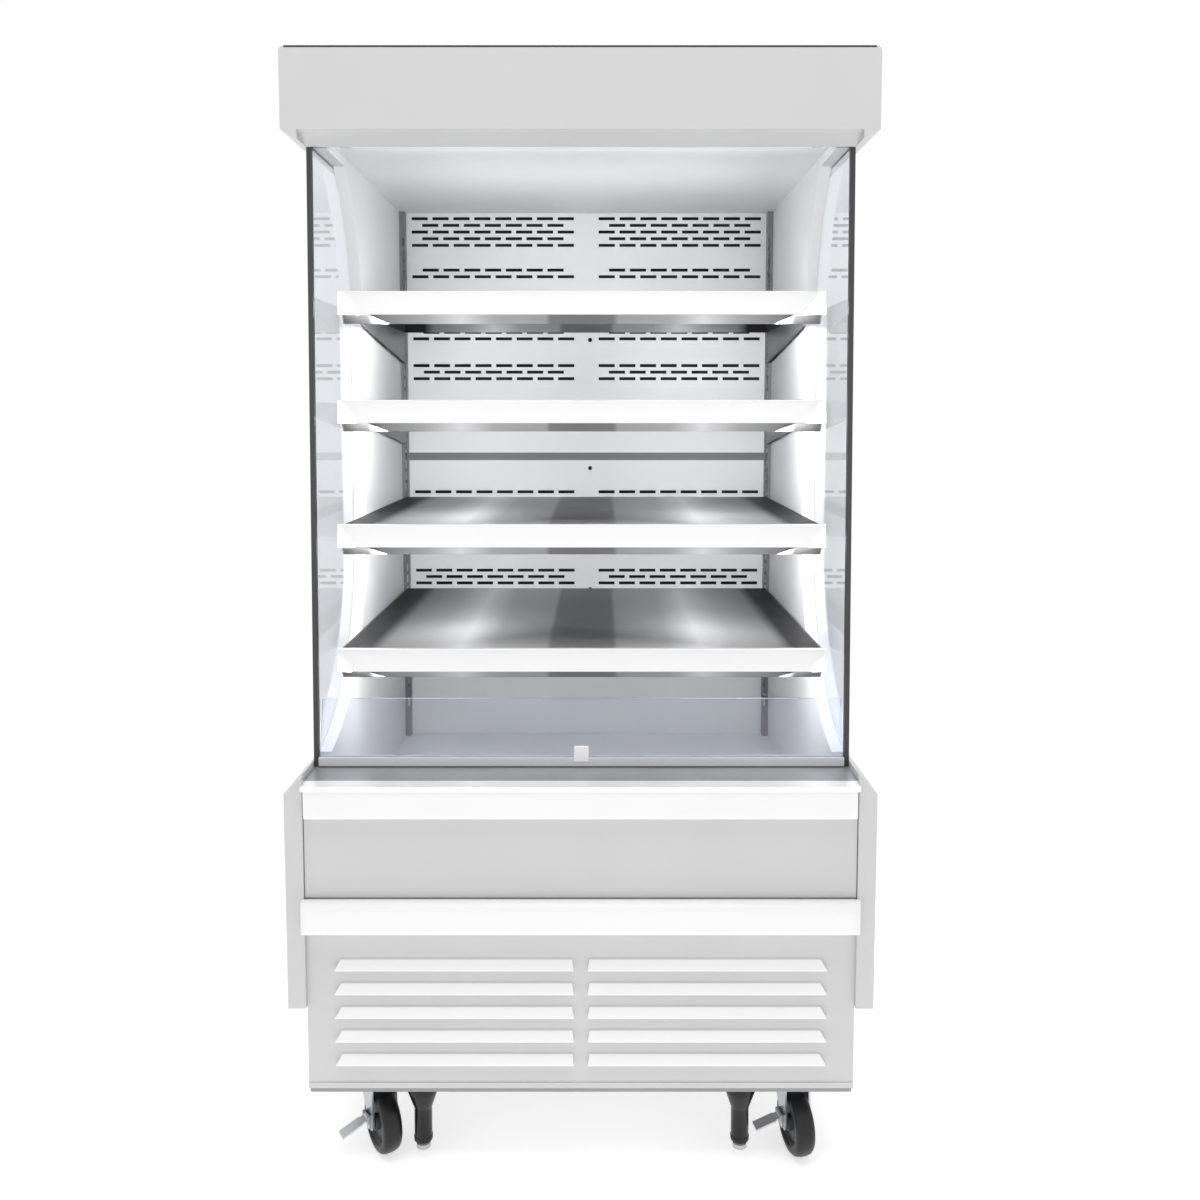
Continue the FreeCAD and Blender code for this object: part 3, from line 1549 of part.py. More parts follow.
def electrical_box():
    """Electrical box with its lid, and the power inlet in the rear sheet."""
    right = louvre_panel_half - cells.sheet - cells.box_margin
    left = right - cells.box_width
    low = floor_plate_top
    high = low + cells.box_height
    box_front = front + cells.box_setback
    y = (box_front, box_front + cells.box_depth)
    wall = cells.sheet
    outer = block("box_outer", (left, right), y, (low, high))
    inner = block("box_inner", (left + wall, right - wall), (y[0] - 1, y[1] - wall),
                  (low + wall, high - wall))
    shell = cut("box_shell", outer, [inner])
    lid = block("box_lid", (left, right), (y[0] - wall, y[0]), (low, high))
    x, z = inlet_place()
    back = rear - wall
    gap = cells.inlet_wall
    inlet = block("power_inlet", (x, x + cells.inlet_width), (back - cells.inlet_depth, back),
                  (z, z + cells.inlet_height))
    cavity = block("inlet_cavity", (x + gap, x + cells.inlet_width - gap),
                   (back - cells.inlet_depth + gap, back + 1),
                   (z + gap, z + cells.inlet_height - gap))
    socket = cut("inlet_socket", inlet, [cavity])
    return node("electrical_box", group("electrical_box_group", [shell, lid, socket]))


def evaporation_pan():
    """Open pan that takes the defrost water, and the drain pipe above it."""
    half = cells.pan_width / 2
    span_y = (drain_y - cells.pan_depth / 2 + 10, drain_y + cells.pan_depth / 2)
    low = floor_plate_top
    top = low + cells.pan_height
    wall = cells.sheet
    outer = block("pan_outer", (drain_x - half, drain_x + half), span_y, (low, top))
    inner = block("pan_inner", (drain_x - half + wall, drain_x + half - wall),
                  (span_y[0] + wall, span_y[1] - wall), (low + wall, top + 1))
    pan = cut("pan", outer, [inner])
    start = (drain_x, drain_y, top - 10)
    length = cells.tub_bottom - top + 10
    pipe = rod("drain_outer", "Z", start, length, cells.drain_radius)
    bore = rod("drain_bore", "Z", start, length, cells.drain_radius - cells.drain_wall)
    return node("evaporation_pan", group("evaporation_pan_group",
                                         [pan, cut("drain_pipe", pipe, [bore])]))


front_row = front + cells.front_caster_setback
rear_row = rear - cells.rear_caster_setback
CASTERS = (
    ("front_left", -1, front_row),
    ("front_right", 1, front_row),
    ("rear_left", -1, rear_row),
    ("rear_right", 1, rear_row),
)


def caster_place(side, row):
    """The swivel axis of a caster on the floor plan."""
    return ((wall_outer - cells.caster_side_inset) * side, row)


def caster_turn(side):
    """How far a caster stands turned about its kingpin, in degrees, on either side."""
    return cells.left_caster_turn if side < 0 else cells.right_caster_turn


def caster_plates():
    """Top plate and kingpin of each caster."""
    low = cells.frame_bottom - cells.caster_plate_thickness
    plates = []
    for label, side, row in CASTERS:
        x, y = caster_place(side, row)
        half_x = cells.caster_plate_width / 2
        half_y = cells.caster_plate_length / 2
        plate = block(f"{label}_top_plate", (x - half_x, x + half_x), (y - half_y, y + half_y),
                      (low, cells.frame_bottom))
        pin_length = cells.race_height + cells.crown_thickness + 3
        pin = rod(f"{label}_kingpin", "Z", (x, y, low - pin_length), pin_length,
                  cells.kingpin_radius)
        plates.append(joined(f"{label}_plate", [plate, pin]))
    return node("caster_plates", group("caster_plates_group", plates))


def caster_fork(label, side, row, braked):
    """Swivel race, crown and two legs that hold the axle, with ears for the brake pedal."""
    name = f"caster_fork_{label}"
    race_top = cells.frame_bottom - cells.caster_plate_thickness - cells.fit_gap
    crown_top = race_top - cells.race_height
    crown_low = crown_top - cells.crown_thickness
    trail = -cells.caster_trail
    half_gap = cells.fork_gap / 2
    outer = half_gap + cells.fork_sheet
    centre = as_size(0)
    bore = cells.kingpin_radius + cells.shaft_clearance
    race = rod(f"{name}_race", "Z", (centre, centre, crown_low), race_top - crown_low,
               cells.race_radius)
    crown = block(f"{name}_crown", symmetric(outer), (trail - 4, cells.race_radius - 4),
                  (crown_low, crown_top))
    hole = rod(f"{name}_bore", "Z", (centre, centre, crown_low - 1), race_top - crown_low + 2, bore)
    top_part = cut(f"{name}_head", joined(f"{name}_top", [race, crown]), [hole])
    axle_height = cells.wheel_radius
    foot = cells.axle_radius + 6
    leg = [
        (cells.race_radius - 4, crown_top),
        (trail - 4, crown_top),
        (trail - foot, axle_height),
        Arc(trail + foot, axle_height, foot + 0.01, 1),
    ]
    parts = [top_part]
    for hand, sign in (("near", -1), ("far", 1)):
        parts.append(prism(f"{name}_leg_{hand}", "YZ", leg, sided(sign, half_gap, outer)))
    parts.append(rod(f"{name}_axle", "X", (-outer - 3, trail, axle_height), outer * 2 + 6,
                     cells.axle_radius))
    if braked:
        height = (cells.pedal_height - cells.pedal_barrel_radius - 2,
                  cells.pedal_height + cells.pedal_barrel_radius + 2)
        reach = (pedal_pin_place() - cells.pedal_pin_radius - 2, -half_gap)
        ear_start = cells.pedal_width / 2 + cells.fit_gap
        middle = trail + cells.pedal_offset
        low = middle - ear_start - cells.fork_sheet
        high = middle + ear_start + cells.fork_sheet
        parts.append(block(f"{name}_ear_front", reach, (low, low + cells.fork_sheet), height))
        parts.append(block(f"{name}_ear_rear", reach, (high - cells.fork_sheet, high), height))
        parts.append(rod(f"{name}_pin", "Y", (pedal_pin_place(), low, cells.pedal_height),
                         high - low, cells.pedal_pin_radius))
    fork = joined(name + "_weldment", parts)
    x, y = caster_place(side, row)
    put(fork, x, y, 0, caster_turn(side))
    return node(name, fork)


def pedal_pin_place():
    """The pedal pin's place beside the fork, in the fork's own frame."""
    return -cells.fork_gap / 2 - cells.fork_sheet - cells.pedal_barrel_radius - cells.fit_gap


def caster_wheel(label, side, row):
    """Wheel with a crowned tread and a hub that turns on the axle."""
    radius = cells.wheel_radius
    half = cells.wheel_width / 2
    hub = cells.hub_half
    bore = cells.axle_radius + cells.shaft_clearance
    shoulder = as_size(8)
    outline = [
        (-hub, bore),
        (hub, bore),
        (hub, cells.hub_radius),
        (half - 5, cells.hub_radius + 3),
        (half - 5, radius * 0.66),
        (half, radius * 0.7),
        (half, radius - shoulder),
        Arc(half - shoulder, radius, shoulder, 1),
        (-half + shoulder, radius),
        Arc(-half, radius - shoulder, shoulder, 1),
        (-half, radius * 0.7),
        (-half + 5, radius * 0.66),
        (-half + 5, cells.hub_radius + 3),
        (-hub, cells.hub_radius),
    ]
    name = f"caster_wheel_{label}"
    wheel = turned(name + "_body", "XY", outline, "H_Axis")
    x, y = caster_place(side, row)
    turn = caster_turn(side)
    angle = math.radians(turn.value)
    ahead = Size(math.cos(angle), f"cos({turn.formula} * 1 deg)") * cells.caster_trail
    aside = Size(math.sin(angle), f"sin({turn.formula} * 1 deg)") * cells.caster_trail
    return node(name, put(wheel, x + aside, y - ahead, radius, turn))


def brake_pedal(label, side, row):
    """Pedal that stands out beside the fork and turns on a pin between two ears."""
    name = f"brake_pedal_{label}"
    middle = cells.pedal_offset - cells.caster_trail
    pin_x = pedal_pin_place()
    high = cells.pedal_height
    half = cells.pedal_thickness / 2
    tip = pin_x - cells.pedal_length
    tread_start = pin_x - cells.pedal_barrel_radius * 2.5
    tread_height = high - cells.pedal_drop * 2.5 * cells.pedal_barrel_radius / cells.pedal_length
    arm = [
        (pin_x, high - half),
        (pin_x, high + half),
        (tip, high - cells.pedal_drop + half),
        (tip, high - cells.pedal_drop - half),
    ]
    tread = [
        (tread_start, tread_height - half),
        (tread_start, tread_height + half),
        (tip, high - cells.pedal_drop + half),
        (tip, high - cells.pedal_drop - half),
    ]
    narrow = (middle - cells.pedal_width / 2, middle + cells.pedal_width / 2)
    wide = (middle - cells.pedal_tread_width / 2, middle + cells.pedal_tread_width / 2)
    barrel = rod(name + "_barrel", "Y", (pin_x, narrow[0], high), cells.pedal_width,
                 cells.pedal_barrel_radius)
    piece = joined(name + "_piece", [prism(name + "_arm", "XZ", arm, narrow),
                                     prism(name + "_tread", "XZ", tread, wide), barrel])
    bore = rod(name + "_bore", "Y", (pin_x, narrow[0] - 1, high), cells.pedal_width + 2,
               cells.pedal_pin_radius + cells.shaft_clearance)
    pedal = cut(name + "_pedal", piece, [bore])
    x, y = caster_place(side, row)
    put(pedal, x, y, 0, caster_turn(side))
    return node(name, pedal)


leg_x = wall_outer - cells.leg_side_inset
leg_y = front + cells.leg_setback


def leg_sleeves():
    """Black sleeves of the two levelling legs."""
    bore = cells.foot_radius + cells.shaft_clearance
    head = cells.leg_head_radius
    shank = cells.leg_shank_radius
    outline = [
        (bore, cells.leg_shank_bottom),
        (shank, cells.leg_shank_bottom),
        (shank, cells.leg_taper_bottom),
        (head, cells.leg_head_bottom),
        (head, cells.frame_bottom - cells.leg_flange_thickness),
        (cells.leg_flange_radius, cells.frame_bottom - cells.leg_flange_thickness),
        (cells.leg_flange_radius, cells.frame_bottom),
        (bore, cells.frame_bottom),
    ]
    sleeves = []
    for side, hand in ((-1, "left"), (1, "right")):
        sleeve = turned(f"leg_sleeve_{hand}", "XZ", outline, "V_Axis")
        sleeves.append(put(sleeve, leg_x * side, leg_y, 0))
    return node("leg_sleeves", group("leg_sleeves_group", sleeves))


def leg_foot(side, label):
    """Metal foot that screws in and out of a leg sleeve."""
    edge = 2
    outline = [
        (as_size(0), cells.foot_bottom),
        (cells.foot_radius - edge, cells.foot_bottom),
        (cells.foot_radius, cells.foot_bottom + edge),
        (cells.foot_radius, cells.foot_top),
        (as_size(0), cells.foot_top),
    ]
    foot = turned(label + "_body", "XZ", outline, "V_Axis")
    return node(label, put(foot, leg_x * side, leg_y, 0))


def shelf(number, share):
    """A steel shelf with its two brackets, and the price rail on its front edge."""
    rise = (ceiling_height - cells.first_shelf_height) * share
    top = cells.first_shelf_height + cells.hook_slot_pitch * nearest(rise / cells.hook_slot_pitch)
    forward = front + cells.shelf_front_setback + cells.shelf_front_step * (number - 1)
    face = forward + cells.price_rail_depth
    wall = cells.shelf_sheet
    back = upright_face - cells.shelf_rear_gap
    rail_low = top + cells.price_rail_rise - cells.price_rail_height
    lip_low = rail_low - cells.shelf_lip_drop
    pan_half = shelf_half - cells.bracket_thickness * 4 / 3
    name = f"shelf_{number}"
    section = [
        (face, top),
        (face, rail_low),
        (face + cells.shelf_lip_depth, lip_low),
        (face + cells.shelf_lip_depth + wall, lip_low + wall),
        (face + wall, rail_low + wall),
        (face + wall, top - wall),
        (back - wall, top - wall),
        (back - wall, top - cells.shelf_flange),
        (back, top - cells.shelf_flange),
        (back, top),
    ]
    pan_parts = [prism(f"{name}_section", "YZ", section, symmetric(pan_half))]
    for side, hand in ((-1, "left"), (1, "right")):
        span = sided(side, pan_half - wall, pan_half)
        pan_parts.append(block(f"{name}_flange_{hand}", span, (face, back),
                               (top - cells.shelf_flange, top)))
    pan = joined(f"{name}_pan", pan_parts)
    hook_low = top - cells.hook_drop + cells.fit_gap
    rear_edge = upright_face - cells.fit_gap
    plate_back = upright_face + cells.upright_sheet
    lip_front = plate_back + cells.hook_lip_gap
    lip_back = lip_front + cells.hook_reach / 2
    tab_low = hook_low - cells.tab_drop
    bracket = [
        (face + cells.shelf_lip_depth * 2, top - wall),
        (face + cells.shelf_lip_depth * 2, top - cells.bracket_front_height),
        (rear_edge, top - cells.bracket_rear_height),
        (rear_edge, tab_low),
        (plate_back + 1, tab_low),
        (plate_back + 1, tab_low + cells.tab_height),
        (rear_edge, tab_low + cells.tab_height),
        (rear_edge, hook_low),
        (lip_front, hook_low),
        (lip_front, hook_low - cells.hook_lip_drop),
        (lip_back, hook_low - cells.hook_lip_drop),
        (lip_back, hook_low + cells.hook_height),
        (rear_edge, hook_low + cells.hook_height),
        (rear_edge, top - wall),
    ]
    parts = [pan]
    for side, hand in ((-1, "left"), (1, "right")):
        span = sided(side, pan_half, pan_half + cells.bracket_thickness)
        parts.append(prism(f"{name}_bracket_{hand}", "YZ", bracket, span))
    node(name, group(f"{name}_group", parts))
    rail_wall = cells.price_rail_wall
    rail_top = rail_low + cells.price_rail_height
    profile = [
        (forward, rail_low),
        (face, rail_low),
        (face, rail_low + rail_wall),
        (forward + rail_wall, rail_low + rail_wall),
        (forward + rail_wall, rail_top - rail_wall),
        (face, rail_top - rail_wall),
        (face, rail_top),
        (forward, rail_top),
    ]
    rail = prism(f"{name}_rail", "YZ", profile, symmetric(shelf_half))
    return node(f"price_rail_{number}", rail)


def build_cabinet():
    """Everything that stays fixed."""
    base_frame()
    side_wall(-1, "side_wall_left")
    side_wall(1, "side_wall_right")
    side_glass()
    glass_edge_trims()
    base_side_covers()
    canopy_end_caps()
    canopy_fascia()
    roof_panel()
    ceiling_panel()
    discharge_honeycomb()
    canopy_lamp()
    rear_wall()
    back_panels()
    panel_screws()
    shelf_frame()
    insulated_tub()
    deck_pan()
    return_grille()
    riser_glass()
    riser_channel()
    sill()
    front_bumpers()
    front_panel()
    louvre_panel()
    machine_housing()
    evaporator_coil()
    evaporator_fan_frames()
    compressor()
    condenser_coil()
    condenser_shroud()
    refrigerant_lines()
    electrical_box()
    evaporation_pan()
    caster_plates()
    leg_sleeves()


def build_moving_pieces():
    """Everything that moves."""
    for number, share in enumerate(SHELF_SHARES, start=1):
        shelf(number, share)
    for label, side, row in CASTERS:
        braked = label.startswith("front")
        caster_fork(label, side, row, braked)
        caster_wheel(label, side, row)
        if braked:
            brake_pedal(label, side, row)
    leg_foot(-1, "leg_foot_left")
    leg_foot(1, "leg_foot_right")
    condenser_fan()
    evaporator_fan(-1, "evaporator_fan_left")
    evaporator_fan(1, "evaporator_fan_right")


def check_model():
    """Stop if any object failed or any sub-part is missing or invalid."""
    for item in document.Objects:
        if "Invalid" in item.State or "Error" in item.State:
            raise RuntimeError(f"{item.Label} failed: {item.State}")
    for item in nodes:
        if item.Shape.isNull() or not item.Shape.isValid():
            raise RuntimeError(f"{item.Label} has no valid shape")


def export_nodes():
    """Write each sub-part to its own file."""
    os.makedirs("parts", exist_ok=True)
    for item in nodes:
        item.Shape.exportStep(f"parts/{item.Label}.step")
        print(f"{item.Label}: {len(item.Shape.Solids)} solids, {item.Shape.Volume / 1000:.1f} cm3")


build_cabinet()
build_moving_pieces()
document.recompute()
check_model()
export_nodes()
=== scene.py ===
"""Looks, stage and camera of an open multideck display fridge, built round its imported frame."""

from __future__ import annotations

import logging
import math
from dataclasses import dataclass, field
from enum import Enum
from typing import Callable, Iterable, Sequence

import bpy
from mathutils import Matrix, Vector

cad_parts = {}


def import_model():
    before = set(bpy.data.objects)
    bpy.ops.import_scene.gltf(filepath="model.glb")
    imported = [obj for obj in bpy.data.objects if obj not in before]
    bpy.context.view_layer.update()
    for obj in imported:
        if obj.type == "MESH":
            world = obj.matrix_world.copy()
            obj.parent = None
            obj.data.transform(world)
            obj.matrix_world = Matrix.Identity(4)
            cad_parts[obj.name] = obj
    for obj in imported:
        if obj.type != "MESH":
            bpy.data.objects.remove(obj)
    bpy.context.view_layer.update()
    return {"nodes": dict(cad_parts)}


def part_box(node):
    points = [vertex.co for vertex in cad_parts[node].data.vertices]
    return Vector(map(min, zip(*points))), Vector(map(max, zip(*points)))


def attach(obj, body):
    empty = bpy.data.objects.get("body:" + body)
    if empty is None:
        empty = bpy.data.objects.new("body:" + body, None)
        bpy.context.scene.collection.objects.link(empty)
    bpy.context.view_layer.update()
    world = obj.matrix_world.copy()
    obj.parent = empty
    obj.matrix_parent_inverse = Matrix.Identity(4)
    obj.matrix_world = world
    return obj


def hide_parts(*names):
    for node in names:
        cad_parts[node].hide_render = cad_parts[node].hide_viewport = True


Piece = bpy.types.Object
Tree = bpy.types.NodeTree
Socket = bpy.types.NodeSocket
MM = 0.001
CABINET = "cabinet"
WHITE = "#FFFFFF"
# The Mix node's colour sockets, which share their names with its other ones.
MIX_FIRST, MIX_SECOND, MIX_RESULT = 6, 7, 2
log = logging.getLogger("fridge")


class Grain(Enum):
    """How a surface was made, which decides the pattern its material carries."""

    POWDER = "powder coat"
    BRUSHED = "brushed along the width"
    SPANGLE = "galvanised spangle"
    PLATED = "zinc plated"
    MOULDED = "moulded"
    EXTRUDED = "extruded along the width"
    RUBBER = "rubber"
    CLEAR = "clear glass"
    FINNED = "rows of thin fins"


# Brushing and an extruder's die leave marks this much longer along X.
STRETCHES = {Grain.BRUSHED: 0.006, Grain.EXTRUDED: 0.03}
# A noise mostly stays between these values.
NOISE_LOW, NOISE_HIGH = 0.3, 0.7
# Clouding a hand wide, and the share by which it changes the gloss.
CLOUD_SCALE, GLOSS_DRIFT = 7.0, 0.08
CLOUD_DETAIL, FINE_DETAIL, ROUGH_DETAIL = 2.0, 3.0, 6.0
BRUSHED_ANISOTROPY = 0.75
GLASS_IOR = 1.45
SURFACE_RELIEF, GLASS_RELIEF = 0.5, 0.1
# Sides of a turned piece: small ones, and wheels and sleeves.
ROUND_STEPS, LARGE_ROUND_STEPS = 48, 64


@dataclass(frozen=True)
class Finish:
    """One real surface: what it is made of and how it looks.

    grain_mm is the size of its pattern, relief_mm that pattern's height, and drift the share by
    which its colour changes over a hand's width. bands are (mm from the middle, share of the
    colour) of painted reflection and shade along X. front_colour_and_painted_light is the colour in
    front of front_limit_mm on Y: a painted highlight on the louvre blades, painted shade in the
    duct and the bumper lip's white on the sill.
    """

    name: str
    colour: str
    grain: Grain
    roughness: float
    grain_mm: float = 1.5
    relief_mm: float = 0.02
    drift: float = 0.02
    metallic: float = 0.0
    coat: float = 0.0
    ior: float = 1.5
    bands: tuple[tuple[float, float], ...] = ()
    front_colour_and_painted_light: str = ""
    front_limit_mm: float = 0.0


# Powder coat on thin sheet: an even light grey with a faint orange peel and a soft gloss.
BODY_COAT = Finish("powder_coated_body_sheet", "#CFCFCF", Grain.POWDER, 0.42, 1.8, 0.012, 0.012)
COVER_COAT = Finish("powder_coated_side_cover", "#CFCFCF", Grain.POWDER, 0.42, 1.8, 0.012, 0.012)
# The same sheet, with the pressed blades that stand in front of its face painted near-white: a
# painted highlight of the light falling on them from above.
LOUVRE_COAT_AND_PAINTED_HIGHLIGHT = Finish("powder_coated_louvre_sheet_painted_highlight", "#CFCFCF", Grain.POWDER, 0.4, 1.8, 0.012, 0.012,
                     front_colour_and_painted_light="#FAFAFA", front_limit_mm=-416.6)
# White coating on the liner and the foamed walls: brighter and smoother than the body's grey.
LINER_COAT = Finish("white_coated_liner_sheet", "#E0E1E2", Grain.POWDER, 0.38, 1.4, 0.01, 0.015)
PANEL_COAT = Finish("foamed_wall_skin", "#DCDCDE", Grain.POWDER, 0.4, 1.6, 0.01, 0.015)
# The same wall, with its inner face at the back of the air duct painted near-black: painted shade.
DUCT_WALL_AND_PAINTED_SHADE = Finish("foamed_duct_wall_painted_shade", "#D0D0D2", Grain.POWDER, 0.5, 1.6, 0.01, 0.015,
                   front_colour_and_painted_light="#26262A", front_limit_mm=404.0)
# Paint on inner sheet, frame and uprights: the duller and rougher the less it is seen.
DECK_COAT = Finish("coated_deck_sheet", "#F0F0F4", Grain.POWDER, 0.4, 1.6, 0.01, 0.02)
GRILLE_COAT = Finish("coated_return_grille", "#8A8A8C", Grain.POWDER, 0.45, 1.6, 0.01, 0.02)
FRAME_COAT = Finish("painted_frame_steel", "#9C9C9E", Grain.POWDER, 0.55, 2.5, 0.03, 0.05)
UPRIGHT_COAT = Finish("coated_slotted_upright", "#77777A", Grain.POWDER, 0.42, 1.6, 0.01, 0.03)
# Brushed stainless steel: fine lines along the sheet that draw each reflection out. The shelves
# also carry painted reflections and shade in strips along X, as the photographed ones look: a dark
# middle, pale streaks about 200 mm out and near-black ends.
SHELF_PAINTED_LIGHT_BANDS = ((0.0, 0.26), (52.0, 0.27), (60.0, 0.48), (145.0, 0.52), (200.0, 0.88),
               (260.0, 0.52), (330.0, 0.33), (352.0, 0.04), (394.0, 0.04), (396.0, 0.3))
SHELF_STEEL_AND_PAINTED_LIGHT = Finish("brushed_stainless_shelf_painted_light", "#F6F7F9", Grain.BRUSHED, 0.5, 0.9, 0.01, 0.05, 0.7,
                     bands=SHELF_PAINTED_LIGHT_BANDS)
# The sill's rear is bare, and the bumper's white lip lies over its front edge.
SILL_STEEL = Finish("brushed_stainless_sill", "#A8A9AC", Grain.BRUSHED, 0.4, 0.9, 0.01, 0.05, 0.8,
                    front_colour_and_painted_light="#FAFAFA", front_limit_mm=-406.0)
# Hot-dip galvanised sheet: dull crystals about a finger wide.
GALVANISED = Finish("galvanised_sheet", "#A5A8AB", Grain.SPANGLE, 0.45, 14.0, 0.01, 0.12, 1.0)
# Bright zinc plate on pressed steel: cool, with a slightly cloudy gloss.
ZINC = Finish("zinc_plated_pressing", "#B9BBBE", Grain.PLATED, 0.3, 6.0, 0.02, 0.05, 1.0)
# White vinyl, nylon, styrene and acrylic: even, with a satin sheen, and glossier on the rails.
BUMPER_VINYL = Finish("white_vinyl_bumper", "#F4F4F4", Grain.EXTRUDED, 0.42, 2.0, 0.01, 0.008)
RAIL_VINYL = Finish("gloss_vinyl_price_rail", "#F7F7F7", Grain.EXTRUDED, 0.25, 2.0, 0.005, 0.006)
CLIP_NYLON = Finish("white_nylon_clip", "#F0F0EE", Grain.MOULDED, 0.45, 0.8, 0.01, 0.01)
CHANNEL_VINYL = Finish("pale_vinyl_channel", "#D4D4D8", Grain.EXTRUDED, 0.45, 2.0, 0.01, 0.02)
HONEYCOMB = Finish("white_styrene_honeycomb", "#E4E4E2", Grain.MOULDED, 0.5, 0.8, 0.01, 0.02)
DIFFUSER = Finish("opal_acrylic_diffuser", "#F2F2EE", Grain.MOULDED, 0.35, 1.0, 0.004, 0.01)
# Black and dark grey nylon, rubber, blackened and anodised metal: deep, with a soft highlight.
# Legs and tyres have a lower index than usual, so that the pale studio leaves them as black.
BLACK_NYLON = Finish("black_moulded_nylon", "#1C1C1D", Grain.MOULDED, 0.48, 0.7, 0.02, 0.06)
BLACK_SEAL = Finish("black_rubber_seal", "#2B2B2C", Grain.RUBBER, 0.6, 1.2, 0.02, 0.05)
BLACKED_STEEL = Finish("blackened_screw_steel", "#2A2A2B", Grain.PLATED, 0.35, 1.0, 0.01, 0.05, 1.0)
LEG_NYLON = Finish("gloss_black_leg_nylon", "#0C0C0D", Grain.MOULDED, 0.24, 0.7, 0.01, 0.06,
                   ior=1.4)
TYRE_RUBBER = Finish("grey_black_tyre_rubber", "#18181A", Grain.RUBBER, 0.36, 1.0, 0.03, 0.08,
                     ior=1.4)
HUB_NYLON = Finish("dark_grey_wheel_nylon", "#3A3B3D", Grain.MOULDED, 0.45, 0.8, 0.02, 0.05)
DARK_ANODISED = Finish("dark_anodised_edge_trim", "#3A3A3C", Grain.EXTRUDED, 0.38, 1.5, 0.01, 0.05)
# Enamel with a wet gloss, reddish copper, fins in fine rows, and bright turned steel.
GLOSS_ENAMEL = Finish("black_gloss_enamel", "#141414", Grain.POWDER, 0.18, 3.0, 0.02, 0.04,
                      coat=0.6)
COPPER = Finish("drawn_copper_tube", "#B87A5A", Grain.PLATED, 0.3, 5.0, 0.01, 0.1, 1.0)
FIN_ALUMINIUM = Finish("aluminium_fin_stock", "#B4B6B8", Grain.FINNED, 0.4, 2.4, 0.3, 0.1, 1.0)
BRIGHT_STEEL = Finish("bright_turned_steel", "#B4B5B7", Grain.PLATED, 0.25, 3.0, 0.01, 0.04, 1.0)
# Clear toughened glass: colourless face on, faintly blue through its thickness.
SIDE_PANE = Finish("clear_side_glass", "#F4F7FC", Grain.CLEAR, 0.0, 400.0, 0.02, 0.0)
RISER_PANE = Finish("clear_riser_glass", "#F0F4FA", Grain.CLEAR, 0.02, 300.0, 0.02, 0.0)

# The carried-over nodes of each finish.
NODE_FINISHES: dict[Finish, tuple[str, ...]] = {
    FRAME_COAT: ("base_frame",),
    PANEL_COAT: ("side_wall_left", "side_wall_right", "roof_panel", "insulated_tub"),
    SIDE_PANE: ("side_glass",),
    DARK_ANODISED: ("glass_edge_trims",),
    COVER_COAT: ("base_side_covers", "canopy_end_caps"),
    BODY_COAT: ("canopy_fascia", "front_panel", "machine_housing"),
    LINER_COAT: ("ceiling_panel", "back_panel_upper", "back_panel_lower"),
    HONEYCOMB: ("discharge_honeycomb",),
    DIFFUSER: ("canopy_lamp",),
    DUCT_WALL_AND_PAINTED_SHADE: ("rear_wall",),
    ZINC: ("panel_screws", "caster_plates"),
    UPRIGHT_COAT: ("shelf_frame",),
    DECK_COAT: ("deck_pan",),
    GRILLE_COAT: ("return_grille",),
    RISER_PANE: ("riser_glass",),
    CHANNEL_VINYL: ("riser_channel",),
    SILL_STEEL: ("sill",),
    BUMPER_VINYL: ("front_bumpers",),
    LOUVRE_COAT_AND_PAINTED_HIGHLIGHT: ("louvre_panel",),
    FIN_ALUMINIUM: ("evaporator_coil", "condenser_coil"),
    BLACK_NYLON: ("evaporator_fan_frames", "condenser_fan", "evaporator_fan_left",
                  "evaporator_fan_right"),
    GLOSS_ENAMEL: ("compressor",),
    GALVANISED: ("condenser_shroud", "electrical_box", "evaporation_pan"),
    COPPER: ("refrigerant_lines",),
    LEG_NYLON: ("leg_sleeves",),
    BRIGHT_STEEL: ("leg_foot_left", "leg_foot_right"),
}


def linear(hex_colour: str) -> tuple[float, float, float, float]:
    """Turn an sRGB hex colour into the linear values that shaders take.

    Args:
        hex_colour: the colour as "#RRGGBB".

    Returns:
        Red, green, blue and an alpha of 1.
    """
    parts = [int(hex_colour[i:i + 2], 16) / 255 for i in (1, 3, 5)]
    red, green, blue = (c / 12.92 if c <= 0.04045 else ((c + 0.055) / 1.055) ** 2.4 for c in parts)
    return red, green, blue, 1.0


def add_node(tree: Tree, kind: str, values: dict[str | int, object] | None = None,
             links: dict[str | int, Socket] | None = None, **settings: object) -> bpy.types.Node:
    """Add one node with its settings, input values and incoming links.

    Args:
        tree: the node tree that gets the node.
        kind: the node's type name, after the word ShaderNode.
        values: constants for its input sockets, by name or index.
        links: sockets that feed its input sockets, by name or index.
        settings: the node's own properties.

    Returns:
        The new node.
    """
    node = tree.nodes.new(f"ShaderNode{kind}")
    for key, setting in settings.items():
        setattr(node, key, setting)
    for key, value in (values or {}).items():
        node.inputs[key].default_value = value
    for key, socket in (links or {}).items():
        tree.links.new(socket, node.inputs[key])
    return node


